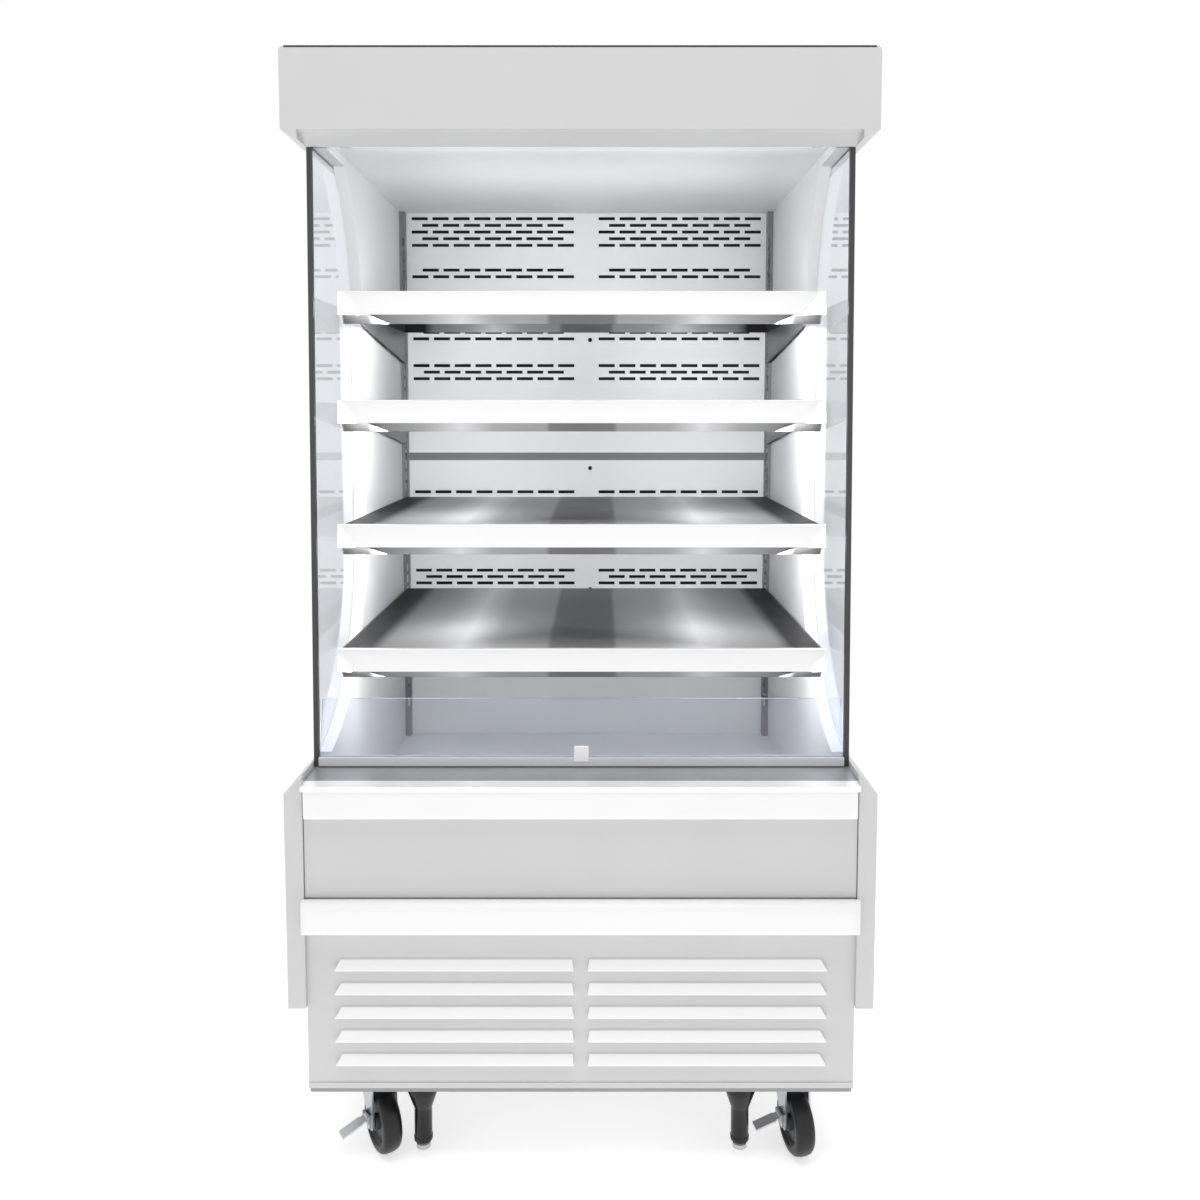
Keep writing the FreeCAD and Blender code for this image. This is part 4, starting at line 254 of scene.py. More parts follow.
@dataclass
class Paintbox:
    """Makes each finish's material once and hands it out."""

    made: dict[str, bpy.types.Material] = field(default_factory=dict)

    def material(self, finish: Finish) -> bpy.types.Material:
        """The material of a finish, made on first use.

        Args:
            finish: the real surface.

        Returns:
            Its node material.
        """
        if finish.name not in self.made:
            material = bpy.data.materials.new(finish.name)
            material.use_nodes = True
            material.node_tree.nodes.clear()
            if finish.grain is Grain.CLEAR:
                self._glass(material.node_tree, finish)
            else:
                self._opaque(material.node_tree, finish)
            self.made[finish.name] = material
        return self.made[finish.name]

    def dress(self, piece: Piece, finish: Finish) -> None:
        """Give a piece, or a carried-over node, one finish all over.

        Args:
            piece: the mesh object.
            finish: the real surface.
        """
        material = self.material(finish)
        if not piece.material_slots:
            piece.data.materials.append(material)
        for slot in piece.material_slots:
            slot.material = material

    @staticmethod
    def _grain_vector(tree: Tree, finish: Finish) -> Socket:
        """Object coordinates, drawn out along X for brushed and extruded surfaces.

        Args:
            tree: the material's nodes.
            finish: the surface.

        Returns:
            The vector socket that patterns read.
        """
        scale = (STRETCHES.get(finish.grain, 1.0), 1.0, 1.0)
        place = add_node(tree, "TexCoord").outputs["Object"]
        mapping = add_node(tree, "Mapping", {"Scale": scale}, {"Vector": place})
        return mapping.outputs["Vector"]

    def _pattern(self, tree: Tree, finish: Finish) -> Socket:
        """The fine relief of a surface, from 0 to 1.

        Args:
            tree: the material's nodes.
            finish: the surface.

        Returns:
            The pattern's value socket.
        """
        scale = 1.0 / (finish.grain_mm * MM)
        vector = self._grain_vector(tree, finish)
        link = {"Vector": vector}
        if finish.grain is Grain.SPANGLE:
            cells = add_node(tree, "TexVoronoi", {"Scale": scale}, link, feature="F1")
            tints = {"Color": cells.outputs["Color"]}
            return add_node(tree, "SeparateColor", links=tints).outputs["Red"]
        if finish.grain is Grain.FINNED:
            rows = {"Scale": scale / 2, "Distortion": 0.0}
            return add_node(tree, "TexWave", rows, link, wave_type="BANDS",
                            bands_direction="X", wave_profile="SAW").outputs["Fac"]
        rough = finish.grain in (Grain.RUBBER, Grain.BRUSHED)
        values = {"Scale": scale, "Detail": ROUGH_DETAIL if rough else FINE_DETAIL}
        return add_node(tree, "TexNoise", values, link).outputs["Fac"]

    @staticmethod
    def _by_place(tree: Tree, finish: Finish, place: Socket, colour: Socket) -> Socket:
        """The colour scaled along X by painted reflection and shade, or given a second colour in
        front of a limit on Y.

        Args:
            tree: the material's nodes.
            finish: the surface.
            place: object coordinates.
            colour: the colour so far.

        Returns:
            The changed colour's socket.
        """
        axes = add_node(tree, "SeparateXYZ", links={"Vector": place}).outputs
        # In front of the limit on Y: painted highlight on the louvre blades, painted shade in the
        # duct, and the bumper lip's white on the sill.
        if finish.front_colour_and_painted_light:
            limit = {1: finish.front_limit_mm * MM}
            in_front = add_node(tree, "Math", limit, {0: axes["Y"]}, operation="LESS_THAN")
            skin = add_node(tree, "Mix", {MIX_SECOND: linear(finish.front_colour_and_painted_light)},
                            {0: in_front.outputs[0], MIX_FIRST: colour}, data_type="RGBA")
            return skin.outputs[MIX_RESULT]
        # Painted reflections and shade: the colour scaled by the bands' shares along X.
        away = add_node(tree, "Math", links={0: axes["X"]}, operation="ABSOLUTE")
        reach = finish.bands[-1][0] * MM
        along = add_node(tree, "MapRange", {"From Max": reach}, {"Value": away.outputs[0]})
        ramp = add_node(tree, "ValToRGB", links={"Fac": along.outputs["Result"]})
        stops = ramp.color_ramp.elements
        while len(stops) < len(finish.bands):
            stops.new(0.5)
        for stop, (distance, share) in zip(stops, finish.bands):
            stop.position = distance * MM / reach
            stop.color = (share, share, share, 1.0)
        both = {0: colour, 1: ramp.outputs["Color"]}
        banded = add_node(tree, "VectorMath", links=both, operation="MULTIPLY")
        return banded.outputs["Vector"]

    def _opaque(self, tree: Tree, finish: Finish) -> None:
        """Nodes of a painted, moulded, rubber or metal surface.

        Args:
            tree: the material's nodes.
            finish: the surface.
        """
        place = add_node(tree, "TexCoord").outputs["Object"]
        cloud = {"Scale": CLOUD_SCALE, "Detail": CLOUD_DETAIL}
        broad = add_node(tree, "TexNoise", cloud, {"Vector": place}).outputs["Fac"]
        fine = self._pattern(tree, finish)
        spotted = finish.grain in (Grain.SPANGLE, Grain.BRUSHED, Grain.FINNED)
        shade, gloss = (
            add_node(tree, "MapRange", {
                "From Min": NOISE_LOW, "From Max": NOISE_HIGH,
                "To Min": middle * (1.0 - drift), "To Max": middle * (1.0 + drift),
            }, {"Value": source}).outputs["Result"]
            for middle, drift, source in (
                (1.0, finish.drift, fine if spotted else broad),
                (finish.roughness, GLOSS_DRIFT, broad),
            )
        )
        colour = add_node(tree, "VectorMath", {0: linear(finish.colour)[:3]},
                          {"Scale": shade}, operation="SCALE").outputs["Vector"]
        if finish.bands or finish.front_colour_and_painted_light:
            colour = self._by_place(tree, finish, place, colour)
        bump = {"Strength": SURFACE_RELIEF, "Distance": finish.relief_mm * MM}
        relief = add_node(tree, "Bump", bump, {"Height": fine}).outputs["Normal"]
        values: dict[str | int, object] = {"Metallic": finish.metallic}
        if finish.metallic == 0.0:
            values["IOR"] = finish.ior
        if finish.coat:
            values["Coat Weight"] = finish.coat
        links = {"Base Color": colour, "Roughness": gloss, "Normal": relief}
        if finish.grain is Grain.BRUSHED:
            values["Anisotropic"] = BRUSHED_ANISOTROPY
            round_x = add_node(tree, "Tangent", direction_type="RADIAL", axis="X")
            links["Tangent"] = round_x.outputs["Tangent"]
        shader = add_node(tree, "BsdfPrincipled", values, links)
        add_node(tree, "OutputMaterial", links={"Surface": shader.outputs["BSDF"]})

    def _glass(self, tree: Tree, finish: Finish) -> None:
        """Nodes of clear glass that lets light fall through it.

        Args:
            tree: the material's nodes.
            finish: the surface.
        """
        colour = linear(finish.colour)
        bump = {"Strength": GLASS_RELIEF, "Distance": finish.relief_mm * MM}
        wave = {"Height": self._pattern(tree, finish)}
        relief = add_node(tree, "Bump", bump, wave).outputs["Normal"]
        values = {"Base Color": colour, "Roughness": finish.roughness,
                  "Transmission Weight": 1.0, "IOR": GLASS_IOR}
        shader = add_node(tree, "BsdfPrincipled", values, {"Normal": relief})
        shadow = add_node(tree, "BsdfTransparent", {"Color": colour})
        rays = add_node(tree, "LightPath")
        either = {1: shader.outputs["BSDF"], 2: shadow.outputs["BSDF"]}
        mixed = add_node(tree, "MixShader", links={0: rays.outputs["Is Shadow Ray"], **either})
        add_node(tree, "OutputMaterial", links={"Surface": mixed.outputs["Shader"]})


FaceTest = Callable[[Vector, Vector], bool]
EdgeTest = Callable[[Vector], bool]
Stations = Sequence[tuple[float, float]]


class Bench:
    """Operator modelling: each piece ends at the origin, with its place in its mesh."""

    @staticmethod
    def clear() -> None:
        """Leave edit mode and deselect everything."""
        if bpy.context.object and bpy.context.object.mode != "OBJECT":
            bpy.ops.object.mode_set(mode="OBJECT")
        bpy.ops.object.select_all(action="DESELECT")

    @classmethod
    def take(cls, piece: Piece) -> None:
        """Select one piece alone and make it the active one."""
        cls.clear()
        bpy.context.view_layer.objects.active = piece
        piece.select_set(True)

    @staticmethod
    def named(piece: Piece, name: str) -> Piece:
        """The piece, with its name and its mesh's name set."""
        piece.name = piece.data.name = name
        return piece

    @classmethod
    def _settle(cls, name: str) -> Piece:
        """The new object, named and with its place moved into its mesh."""
        bpy.ops.object.transform_apply(location=True, rotation=True, scale=True)
        return cls.named(bpy.context.object, name)

    @classmethod
    def block(cls, name: str, low: Sequence[float], high: Sequence[float]) -> Piece:
        """A box between two corners in millimetres, as a start for shaping.

        Args:
            name: the piece's name.
            low: the lowest corner.
            high: the highest corner.

        Returns:
            The box.
        """
        cls.clear()
        middle = [(a + b) / 2 * MM for a, b in zip(low, high)]
        bpy.ops.mesh.primitive_cube_add(size=1.0, location=middle)
        bpy.context.object.scale = [(b - a) * MM for a, b in zip(low, high)]
        return cls._settle(name)

    @classmethod
    def turned(cls, name: str, stations: Stations, steps: int = ROUND_STEPS,
               place: Matrix | None = None, ring: bool = False) -> Piece:
        """A turned piece, extruded and resized from station to station along its axis.

        Args:
            name: the piece's name.
            stations: radius and distance along the axis of each station, in millimetres.
            steps: how many sides it has.
            place: where its axis, which is Z, goes.
            ring: whether the last station closes onto the first, round a bore.

        Returns:
            The turned piece.
        """
        cls.clear()
        radius, height = stations[0]
        fill = "NOTHING" if ring else "NGON"
        bpy.ops.mesh.primitive_circle_add(vertices=steps, radius=radius * MM, fill_type=fill)
        bpy.ops.object.mode_set(mode="EDIT")
        bpy.ops.mesh.select_mode(type="VERT")
        bpy.ops.mesh.select_all(action="SELECT")
        bpy.ops.transform.translate(value=(0, 0, height * MM))
        path = list(stations[1:]) + ([stations[0]] if ring else [])
        for next_radius, next_height in path:
            bpy.ops.mesh.extrude_region_move(
                TRANSFORM_OT_translate={"value": (0, 0, (next_height - height) * MM)}
            )
            share = (next_radius / radius, next_radius / radius, 1.0)
            bpy.ops.transform.resize(value=share, center_override=(0, 0, next_height * MM))
            radius, height = next_radius, next_height
        bpy.ops.mesh.select_all(action="SELECT")
        bpy.ops.mesh.remove_doubles(threshold=1e-6)
        bpy.ops.mesh.normals_make_consistent(inside=False)
        bpy.ops.object.mode_set(mode="OBJECT")
        bpy.context.object.matrix_world = place or Matrix.Identity(4)
        return cls._settle(name)

    @classmethod
    def select_faces(cls, piece: Piece, test: FaceTest) -> None:
        """Enter edit mode on a piece with the faces selected that pass a test.

        Args:
            piece: the mesh object.
            test: takes a face's middle in millimetres and its normal.
        """
        cls.take(piece)
        bpy.ops.object.mode_set(mode="EDIT")
        bpy.ops.mesh.select_mode(type="FACE")
        bpy.ops.mesh.select_all(action="DESELECT")
        bpy.ops.object.mode_set(mode="OBJECT")
        for polygon in piece.data.polygons:
            polygon.select = test(polygon.center / MM, polygon.normal)
        bpy.ops.object.mode_set(mode="EDIT")

    @classmethod
    def sink(cls, piece: Piece, test: FaceTest, rim: float, move: Sequence[float]) -> None:
        """Inset the chosen faces and move them in or out.

        Args:
            piece: the mesh object.
            test: picks the faces.
            rim: width of the rim that stays, in millimetres.
            move: how far the inset faces go, in millimetres.
        """
        cls.select_faces(piece, test)
        bpy.ops.mesh.inset(thickness=rim * MM, use_even_offset=True)
        bpy.ops.mesh.extrude_region_move(
            TRANSFORM_OT_translate={"value": [value * MM for value in move]}
        )
        bpy.ops.object.mode_set(mode="OBJECT")

    @classmethod
    def round_edges(cls, piece: Piece, test: EdgeTest, radius: float, segments: int = 8) -> None:
        """Round the edges whose two ends both pass a test.

        Args:
            piece: the mesh object.
            test: takes a corner in millimetres.
            radius: the rounding's radius, in millimetres.
            segments: how many faces go round.
        """
        cls.select_faces(piece, lambda _middle, _normal: False)
        bpy.ops.mesh.select_mode(type="EDGE")
        bpy.ops.object.mode_set(mode="OBJECT")
        corners = piece.data.vertices
        for edge in piece.data.edges:
            edge.select = all(test(corners[index].co / MM) for index in edge.vertices)
        bpy.ops.object.mode_set(mode="EDIT")
        bpy.ops.mesh.bevel(offset=radius * MM, segments=segments, affect="EDGES")
        bpy.ops.object.mode_set(mode="OBJECT")

    @classmethod
    def cut_out(cls, piece: Piece, cutter: Piece) -> None:
        """Take the cutter's room out of a piece, and remove the cutter."""
        cls.apply(piece, "BOOLEAN", operation="DIFFERENCE", object=cutter, solver="EXACT")
        bpy.data.objects.remove(cutter, do_unlink=True)

    @classmethod
    def apply(cls, piece: Piece, kind: str, **settings: object) -> None:
        """Add one modifier to a piece and apply it.

        Args:
            piece: the mesh object.
            kind: the modifier's type.
            settings: the modifier's properties.
        """
        cls.take(piece)
        modifier = piece.modifiers.new(kind.lower(), kind)
        for key, value in settings.items():
            setattr(modifier, key, value)
        bpy.ops.object.modifier_apply(modifier=modifier.name)

    @classmethod
    def soften(cls, piece: Piece, width: float, segments: int = 3) -> None:
        """Round a piece's edges by a width in millimetres and shade it smooth between them."""
        cls.apply(piece, "BEVEL", width=width * MM, segments=segments, limit_method="ANGLE",
                  angle_limit=math.radians(35), harden_normals=False)
        cls.smooth(piece)

    @classmethod
    def smooth(cls, piece: Piece, angle: float = 40.0) -> None:
        """Shade a piece smooth up to an angle in degrees."""
        cls.take(piece)
        bpy.ops.object.shade_smooth_by_angle(angle=math.radians(angle))

    @classmethod
    def copy(cls, piece: Piece, name: str, matrix: Matrix) -> Piece:
        """A copy of a piece with its own mesh, moved by a matrix.

        Args:
            piece: what is copied.
            name: the copy's name.
            matrix: the move, in metres.

        Returns:
            The copy.
        """
        twin = piece.copy()
        twin.data = piece.data.copy()
        cls.named(twin, name)
        bpy.context.scene.collection.objects.link(twin)
        twin.data.transform(matrix)
        if matrix.determinant() < 0:
            twin.data.flip_normals()
        return twin

    @classmethod
    def join(cls, name: str, pieces: Iterable[Piece]) -> Piece:
        """Several pieces of one finish as one object.

        Args:
            name: the joined piece's name.
            pieces: what is joined.

        Returns:
            The joined piece.
        """
        cls.clear()
        several = list(pieces)
        for piece in several:
            piece.select_set(True)
        bpy.context.view_layer.objects.active = several[0]
        bpy.ops.object.join()
        return cls.named(bpy.context.object, name)


def shift(x: float = 0.0, y: float = 0.0, z: float = 0.0) -> Matrix:
    """A move in millimetres as a matrix."""
    return Matrix.Translation(Vector((x, y, z)) * MM)


def turn(degrees: float, axis: str) -> Matrix:
    """A turn round one axis as a matrix."""
    return Matrix.Rotation(math.radians(degrees), 4, axis)


def extent(node: str) -> tuple[Vector, Vector]:
    """A carried-over node's lowest and highest corners in millimetres."""
    low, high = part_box(node)
    return low / MM, high / MM


@dataclass
class Assembly:
    """A sub-assembly that dresses and places its own pieces."""

    paints: Paintbox
    nodes: dict[str, Piece]

    def place(self, piece: Piece, finish: Finish, body: str = CABINET,
              stands_for: Sequence[str] = (), slot: str = "") -> None:
        """Dress a new piece, hide the nodes it stands for and let it ride on its body.

        Args:
            piece: the finished mesh object.
            finish: its surface.
            body: the body it rides on.
            stands_for: the nodes it replaces.
            slot: the record's material slot of the piece; not used.
        """
        self.paints.dress(piece, finish)
        if stands_for:
            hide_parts(*stands_for)
        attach(piece, body)
        log.info("%s on %s", piece.name, body)


def pan_head(name: str, radius: float, height: float) -> Piece:
    """A domed screw head with a cross recess, standing on its underside along +Z.

    Args:
        name: the piece's name.
        radius: the head's radius in millimetres.
        height: the head's height in millimetres.

    Returns:
        The screw head.
    """
    dome = ((0.01, 0.0), (radius, 0.0), (radius, height * 0.35), (radius * 0.86, height * 0.75),
            (radius * 0.55, height * 0.95), (0.01, height))
    head = Bench.turned(name, dome, 20)
    for angle in (0.0, 90.0):
        slot = Bench.block(f"{name}_recess", (-radius * 0.6, -radius * 0.12, height * 0.45),
                           (radius * 0.6, radius * 0.12, height * 1.2))
        slot.data.transform(turn(angle, "Z"))
        Bench.cut_out(head, slot)
    Bench.smooth(head, 40)
    return head


def hex_bolt(name: str, radius: float, height: float) -> Piece:
    """A hexagon head with a chamfered top and a washer, standing on its underside along +Z.

    Args:
        name: the piece's name.
        radius: the radius to the corners in millimetres.
        height: the height in millimetres.

    Returns:
        The bolt head.
    """
    head = Bench.turned(name, ((radius, height * 0.25), (radius, height * 0.85),
                               (radius * 0.88, height)), 6)
    washer = Bench.turned(f"{name}_washer", ((radius * 1.25, 0.0), (radius * 1.25, height * 0.2),
                                             (radius * 1.18, height * 0.25)), 28)
    both = Bench.join(name, (head, washer))
    Bench.smooth(both, 30)
    return both


def spread(piece: Piece, name: str, places: Iterable[Matrix]) -> Piece:
    """Copies of a piece at several places, as one object. The piece itself goes.

    Args:
        piece: what is copied.
        name: the name of the whole.
        places: where each copy goes.

    Returns:
        The copies as one piece.
    """
    copies = [Bench.copy(piece, f"{name}_{index}", place) for index, place in enumerate(places)]
    bpy.data.objects.remove(piece, do_unlink=True)
    return Bench.join(name, copies)


@dataclass
class Canopy(Assembly):
    """The seal on the canopy's top edge, the lamp bar and the air straightener."""

    seal: float = 3.2
    seal_reach: float = 0.4
    seal_edge: float = 0.8
    corner: float = 8.0
    cell: float = 6.0
    cell_wall: float = 0.5
    lamp_cap: float = 14.0
    cap_overlap: float = 0.3
    belly_radius: float = 4.0

    def build(self) -> None:
        """Make each of them."""
        self._seal()
        self._lamp()
        self._honeycomb()

    def _seal(self) -> None:
        """A thin dark seal along the top edge, over the joint of fascia and roof."""
        low, high = extent("canopy_end_caps")
        reach = high.x - self.corner
        seal = Bench.block("canopy_top_seal", (-reach, low.y - self.seal_reach, high.z - self.seal),
                           (reach, low.y + self.seal, high.z - 0.1))
        Bench.soften(seal, self.seal_edge)
        self.place(seal, BLACK_SEAL)

    def _lamp(self) -> None:
        """An opal diffuser with a rounded belly between two grey end caps."""
        low, high = extent("canopy_lamp")
        diffuser = Bench.block("lamp_diffuser", (low.x + self.lamp_cap, low.y, low.z),
                               (high.x - self.lamp_cap, high.y, high.z))
        Bench.round_edges(diffuser, lambda corner: corner.z < low.z + 1, self.belly_radius)
        Bench.smooth(diffuser)
        self.place(diffuser, DIFFUSER, stands_for=("canopy_lamp",), slot="lamp_diffuser")
        caps = []
        over = self.cap_overlap
        for near, far in ((low.x, low.x + self.lamp_cap), (high.x - self.lamp_cap, high.x)):
            cap = Bench.block("lamp_end_cap", (near, low.y - over, low.z - over),
                              (far, high.y + over, high.z))
            Bench.round_edges(cap, lambda corner: corner.z < low.z + 1, self.belly_radius + over)
            caps.append(cap)
        self.place(Bench.join("lamp_end_caps", caps), CHANNEL_VINYL)

    def _honeycomb(self) -> None:
        """A mat of six-sided cells in place of the straightener's block."""
        low, high = extent("discharge_honeycomb")
        across = self.cell * math.sqrt(3)
        pitch = self.cell * 3
        rows = int((high.x - low.x - self.cell * 2) // pitch)
        lines = int((high.y - low.y) // across)
        first = (low.x + high.x) / 2 - pitch * (rows - 1) / 2 - self.cell * 0.75
        start = (low.y + high.y) / 2 - across * (lines - 1) / 2 - across / 4
        cells = []
        for step_x, step_y in ((0.0, 0.0), (pitch / 2, across / 2)):
            place = shift(first + step_x, start + step_y, low.z)
            depth, bore = high.z - low.z, self.cell - self.cell_wall
            rim = ((self.cell, 0.0), (self.cell, depth), (bore, depth), (bore, 0.0))
            cells.append(Bench.turned("honeycomb_cell", rim, 6, place, ring=True))
        mat = Bench.join("discharge_honeycomb_cells", cells)
        for count, step in ((rows, (pitch * MM, 0, 0)), (lines, (0, across * MM, 0))):
            Bench.apply(mat, "ARRAY", count=count, use_relative_offset=False,
                        use_constant_offset=True, constant_offset_displace=step)
        self.place(mat, HONEYCOMB, stands_for=("discharge_honeycomb",), slot="honeycomb_white")


@dataclass
class Shelving(Assembly):
    """The four shelves' price rails, with a lipped label face, and the back panels' screws."""

    lip: float = 2.2
    label_depth: float = 0.8
    rail_edge: float = 0.7
    screw_radius: float = 4.5
    screw_height: float = 2.5
    middle_screw: float = 1087.0

    def build(self) -> None:
        """Make a price rail for each shelf, and the screws."""
        for number in range(1, 5):
            node = f"price_rail_{number}"
            low, high = extent(node)
            rail = Bench.block(f"label_{node}", low, high)
            Bench.sink(rail, lambda _, normal: normal.y < -0.9, self.lip, (0, self.label_depth, 0))
            Bench.soften(rail, self.rail_edge)
            self.place(rail, RAIL_VINYL, f"shelf_{number}_unit", (node,), "price_rail_white")
            self.paints.dress(self.nodes[f"shelf_{number}"], SHELF_STEEL_AND_PAINTED_LIGHT)
        self._screws()

    def _screws(self) -> None:
        """Three screws with cross recesses on the back panels."""
        low, high = extent("panel_screws")
        x = (low.x + high.x) / 2
        face = low.y + self.screw_height
        half = self.screw_radius
        levels = (low.z + half, self.middle_screw, high.z - half)
        head = pan_head("panel_screw", half, self.screw_height)
        heads = spread(head, "panel_screw_heads",
                       [shift(x, face, level) @ turn(90, "X") for level in levels])
        self.place(heads, BLACKED_STEEL, stands_for=("panel_screws",), slot="screw_steel")


@dataclass
class BaseFront(Assembly):
    """The two bumpers, with soft ends, and the riser's channel with its clip."""

    channel_front: float = 4.3
    channel_rear: float = 2.5
    channel_floor: float = 3.0
    channel_size: float = 16.0
    clip_half: float = 12.0
    clip_span: tuple[float, float] = (650.0, 674.0)
    clip_lean: float = 5.5
    lower_radius: float = 16.0
    upper_radius: float = 9.0
    mount_inset: float = 4.0
    bumper_edge: float = 1.2
    channel_edge: float = 0.8
    clip_edge: float = 1.5
    # Half width, face, back, bottom and top of each bumper.
    lower: tuple[float, ...] = (432.5, -445.0, -423.3, 406.0, 459.0)
    upper: tuple[float, ...] = (425.5, -432.0, -412.0, 586.0, 638.5)

    def build(self) -> None:
        """Make each of them."""
        self._bumpers()
        self._channel()

    def _channel(self) -> None:
        """Two lips on a foot along the riser, and a white clip on its middle."""
        low, high = extent("riser_channel")
        face, back = high.y - self.channel_size, high.y
        top = low.z + self.channel_size
        parts = []
        for near, far, head in ((face, face + self.channel_front, top),
                                (face, back, low.z + self.channel_floor),
                                (back - self.channel_rear, back, top)):
            parts.append(Bench.block("channel_part", (low.x, near, low.z), (high.x, far, head)))
            Bench.soften(parts[-1], self.channel_edge)
        channel = Bench.join("riser_channel_profile", parts)
        Bench.smooth(channel)
        self.place(channel, CHANNEL_VINYL, stands_for=("riser_channel",), slot="channel_white")
        bottom, head = self.clip_span
        clip = Bench.block("riser_clip", (-self.clip_half, low.y, bottom),
                           (self.clip_half, face + self.channel_front - 1, head))
        Bench.select_faces(clip, lambda _, normal: normal.z > 0.9)
        bpy.ops.transform.translate(value=(0, self.clip_lean * MM, 0))
        bpy.ops.object.mode_set(mode="OBJECT")
        Bench.soften(clip, self.clip_edge)
        Bench.smooth(clip)
        self.place(clip, CLIP_NYLON)

    def _bumpers(self) -> None:
        """Both bumpers as one piece."""
        half, face, back, bottom, top = self.lower
        bar = Bench.block("lower_bumper_bar", (-half, face, bottom), (half, back, top))
        Bench.round_edges(bar, lambda corner: corner.y < face + 1, self.lower_radius, 10)
        Bench.soften(bar, self.bumper_edge)
        inset = self.mount_inset
        mount = Bench.block("lower_bumper_mount", (inset - half, back - 1, bottom + inset),
                            (half - inset, self.upper[2], top - inset))
        half, face, back, bottom, top = self.upper
        rail = Bench.block("upper_bumper_bar", (-half, face, bottom), (half, back, top))
        Bench.round_edges(
            rail, lambda corner: corner.y < face + 1 and corner.z < bottom + 1, self.upper_radius
        )
        Bench.soften(rail, self.bumper_edge)
        bumpers = Bench.join("moulded_bumpers", (bar, mount, rail))
        Bench.smooth(bumpers)
        self.place(bumpers, BUMPER_VINYL, stands_for=("front_bumpers",), slot="bumper_white")


@dataclass(frozen=True)
class Caster:
    """Where one caster stands in millimetres, its turn in degrees, and if it has a brake."""

    label: str
    x: float
    y: float
    turn: float
    braked: bool


@dataclass
class RunningGear(Assembly):
    """Casters and levelling legs."""

    trail: float = 32.0
    wheel_radius: float = 50.0
    fork_outer: float = 22.0
    plate_bolt: tuple[float, float] = (22.0, 36.0)
    plate_bottom: float = 137.0
    leg_flange: float = 30.0
    nut: tuple[float, float] = (6.8, 5.0)
    bolt: tuple[float, float] = (6.0, 5.0)
    # Radius and distance along the axis of each piece's stations.
    tyre: Stations = (
        (34.0, -13.4), (35.5, -15.4), (37.5, -16.0), (42.0, -15.8), (45.4, -14.6), (48.0, -12.0),
        (49.5, -7.6), (50.0, -3.0), (50.0, 3.0), (49.5, 7.6), (48.0, 12.0), (45.4, 14.6),
        (42.0, 15.8), (37.5, 16.0), (35.5, 15.4), (34.0, 13.4),
    )
    hub: Stations = (
        (5.1, -18.0), (9.0, -18.0), (12.0, -16.0), (13.0, -10.0), (30.0, -8.0), (33.0, -13.0),
        (34.0, -13.0), (34.0, 13.0), (33.0, 13.0), (30.0, 8.0), (13.0, 10.0), (12.0, 16.0),
        (9.0, 18.0), (5.1, 18.0),
    )
    race: Stations = (
        (24.0, 121.0), (26.5, 121.5), (27.0, 124.0), (25.6, 126.5), (25.6, 129.0), (27.0, 131.5),
        (26.5, 134.0), (24.0, 134.5),
    )
    sleeve: Stations = (
        (11.6, 33.0), (14.4, 33.0), (15.2, 34.0), (15.2, 40.0), (14.4, 41.0), (14.4, 88.0),
        (15.6, 91.0), (24.6, 117.0), (25.0, 119.0), (25.0, 134.5), (29.0, 136.0), (30.0, 136.6),
        (30.0, 140.0), (11.6, 140.0),
    )
    casters: tuple[Caster, ...] = (
        Caster("front_left", -345.0, -323.5, 34.0, True),
        Caster("front_right", 345.0, -323.5, 12.0, True),
        Caster("rear_left", -345.0, 340.0, 34.0, False),
        Caster("rear_right", 345.0, 340.0, 12.0, False),
    )

    def build(self) -> None:
        """Make the wheels, dress the forks and make the legs."""
        for caster in self.casters:
            self._wheel(caster)
            self._fork_details(caster)
            self.paints.dress(self.nodes[f"caster_fork_{caster.label}"], ZINC)
            if caster.braked:
                self.paints.dress(self.nodes[f"brake_pedal_{caster.label}"], ZINC)
        self._plate_bolts()
        self._legs()

    def _local(self, caster: Caster, point: Vector) -> Matrix:
        """From a caster's own frame, moved to a point in it in millimetres, to the cabinet's."""
        swivel = shift(caster.x, caster.y, 0.0)
        return swivel @ turn(caster.turn, "Z") @ shift(*point)

    def _wheel(self, caster: Caster) -> None:
        """Tyre and hub of one wheel.

        Args:
            caster: the caster.
        """
        axle = self._local(caster, Vector((0.0, -self.trail, self.wheel_radius)))
        place = axle @ turn(90, "Y")
        node = f"caster_wheel_{caster.label}"
        for part, stations, crease, finish, stands_for in (
            ("tyre", self.tyre, 50, TYRE_RUBBER, (node,)), ("hub", self.hub, 30, HUB_NYLON, ()),
        ):
            name = f"caster_{part}_{caster.label}"
            piece = Bench.turned(name, stations, LARGE_ROUND_STEPS, place, ring=True)
            Bench.smooth(piece, crease)
            self.place(piece, finish, f"{caster.label}_wheel", stands_for, "caster_rubber")

    def _fork_details(self, caster: Caster) -> None:
        """Axle nuts and the grooved ring of the ball race.

        Args:
            caster: the caster.
        """
        details = []
        for sign in (-1, 1):
            nut = hex_bolt(f"axle_nut_{caster.label}", *self.nut)
            end = Vector((self.fork_outer * sign, -self.trail, self.wheel_radius))
            details.append(nut)
            nut.data.transform(self._local(caster, end) @ turn(90 * sign, "Y"))
        race = Bench.turned(f"race_ring_{caster.label}", self.race,
                            place=self._local(caster, Vector()), ring=True)
        Bench.smooth(race, 50)
        piece = Bench.join(f"fork_details_{caster.label}", (*details, race))
        self.place(piece, ZINC, f"{caster.label}_fork")

    def _plate_bolts(self) -> None:
        """Four bolts under each top plate."""
        places = [
            shift(caster.x + self.plate_bolt[0] * across, caster.y + self.plate_bolt[1] * along,
                  self.plate_bottom) @ turn(180, "X")
            for caster in self.casters for across in (-1, 1) for along in (-1, 1)
        ]
        bolts = spread(hex_bolt("plate_bolt", *self.bolt), "plate_bolts", places)
        self.place(bolts, ZINC)

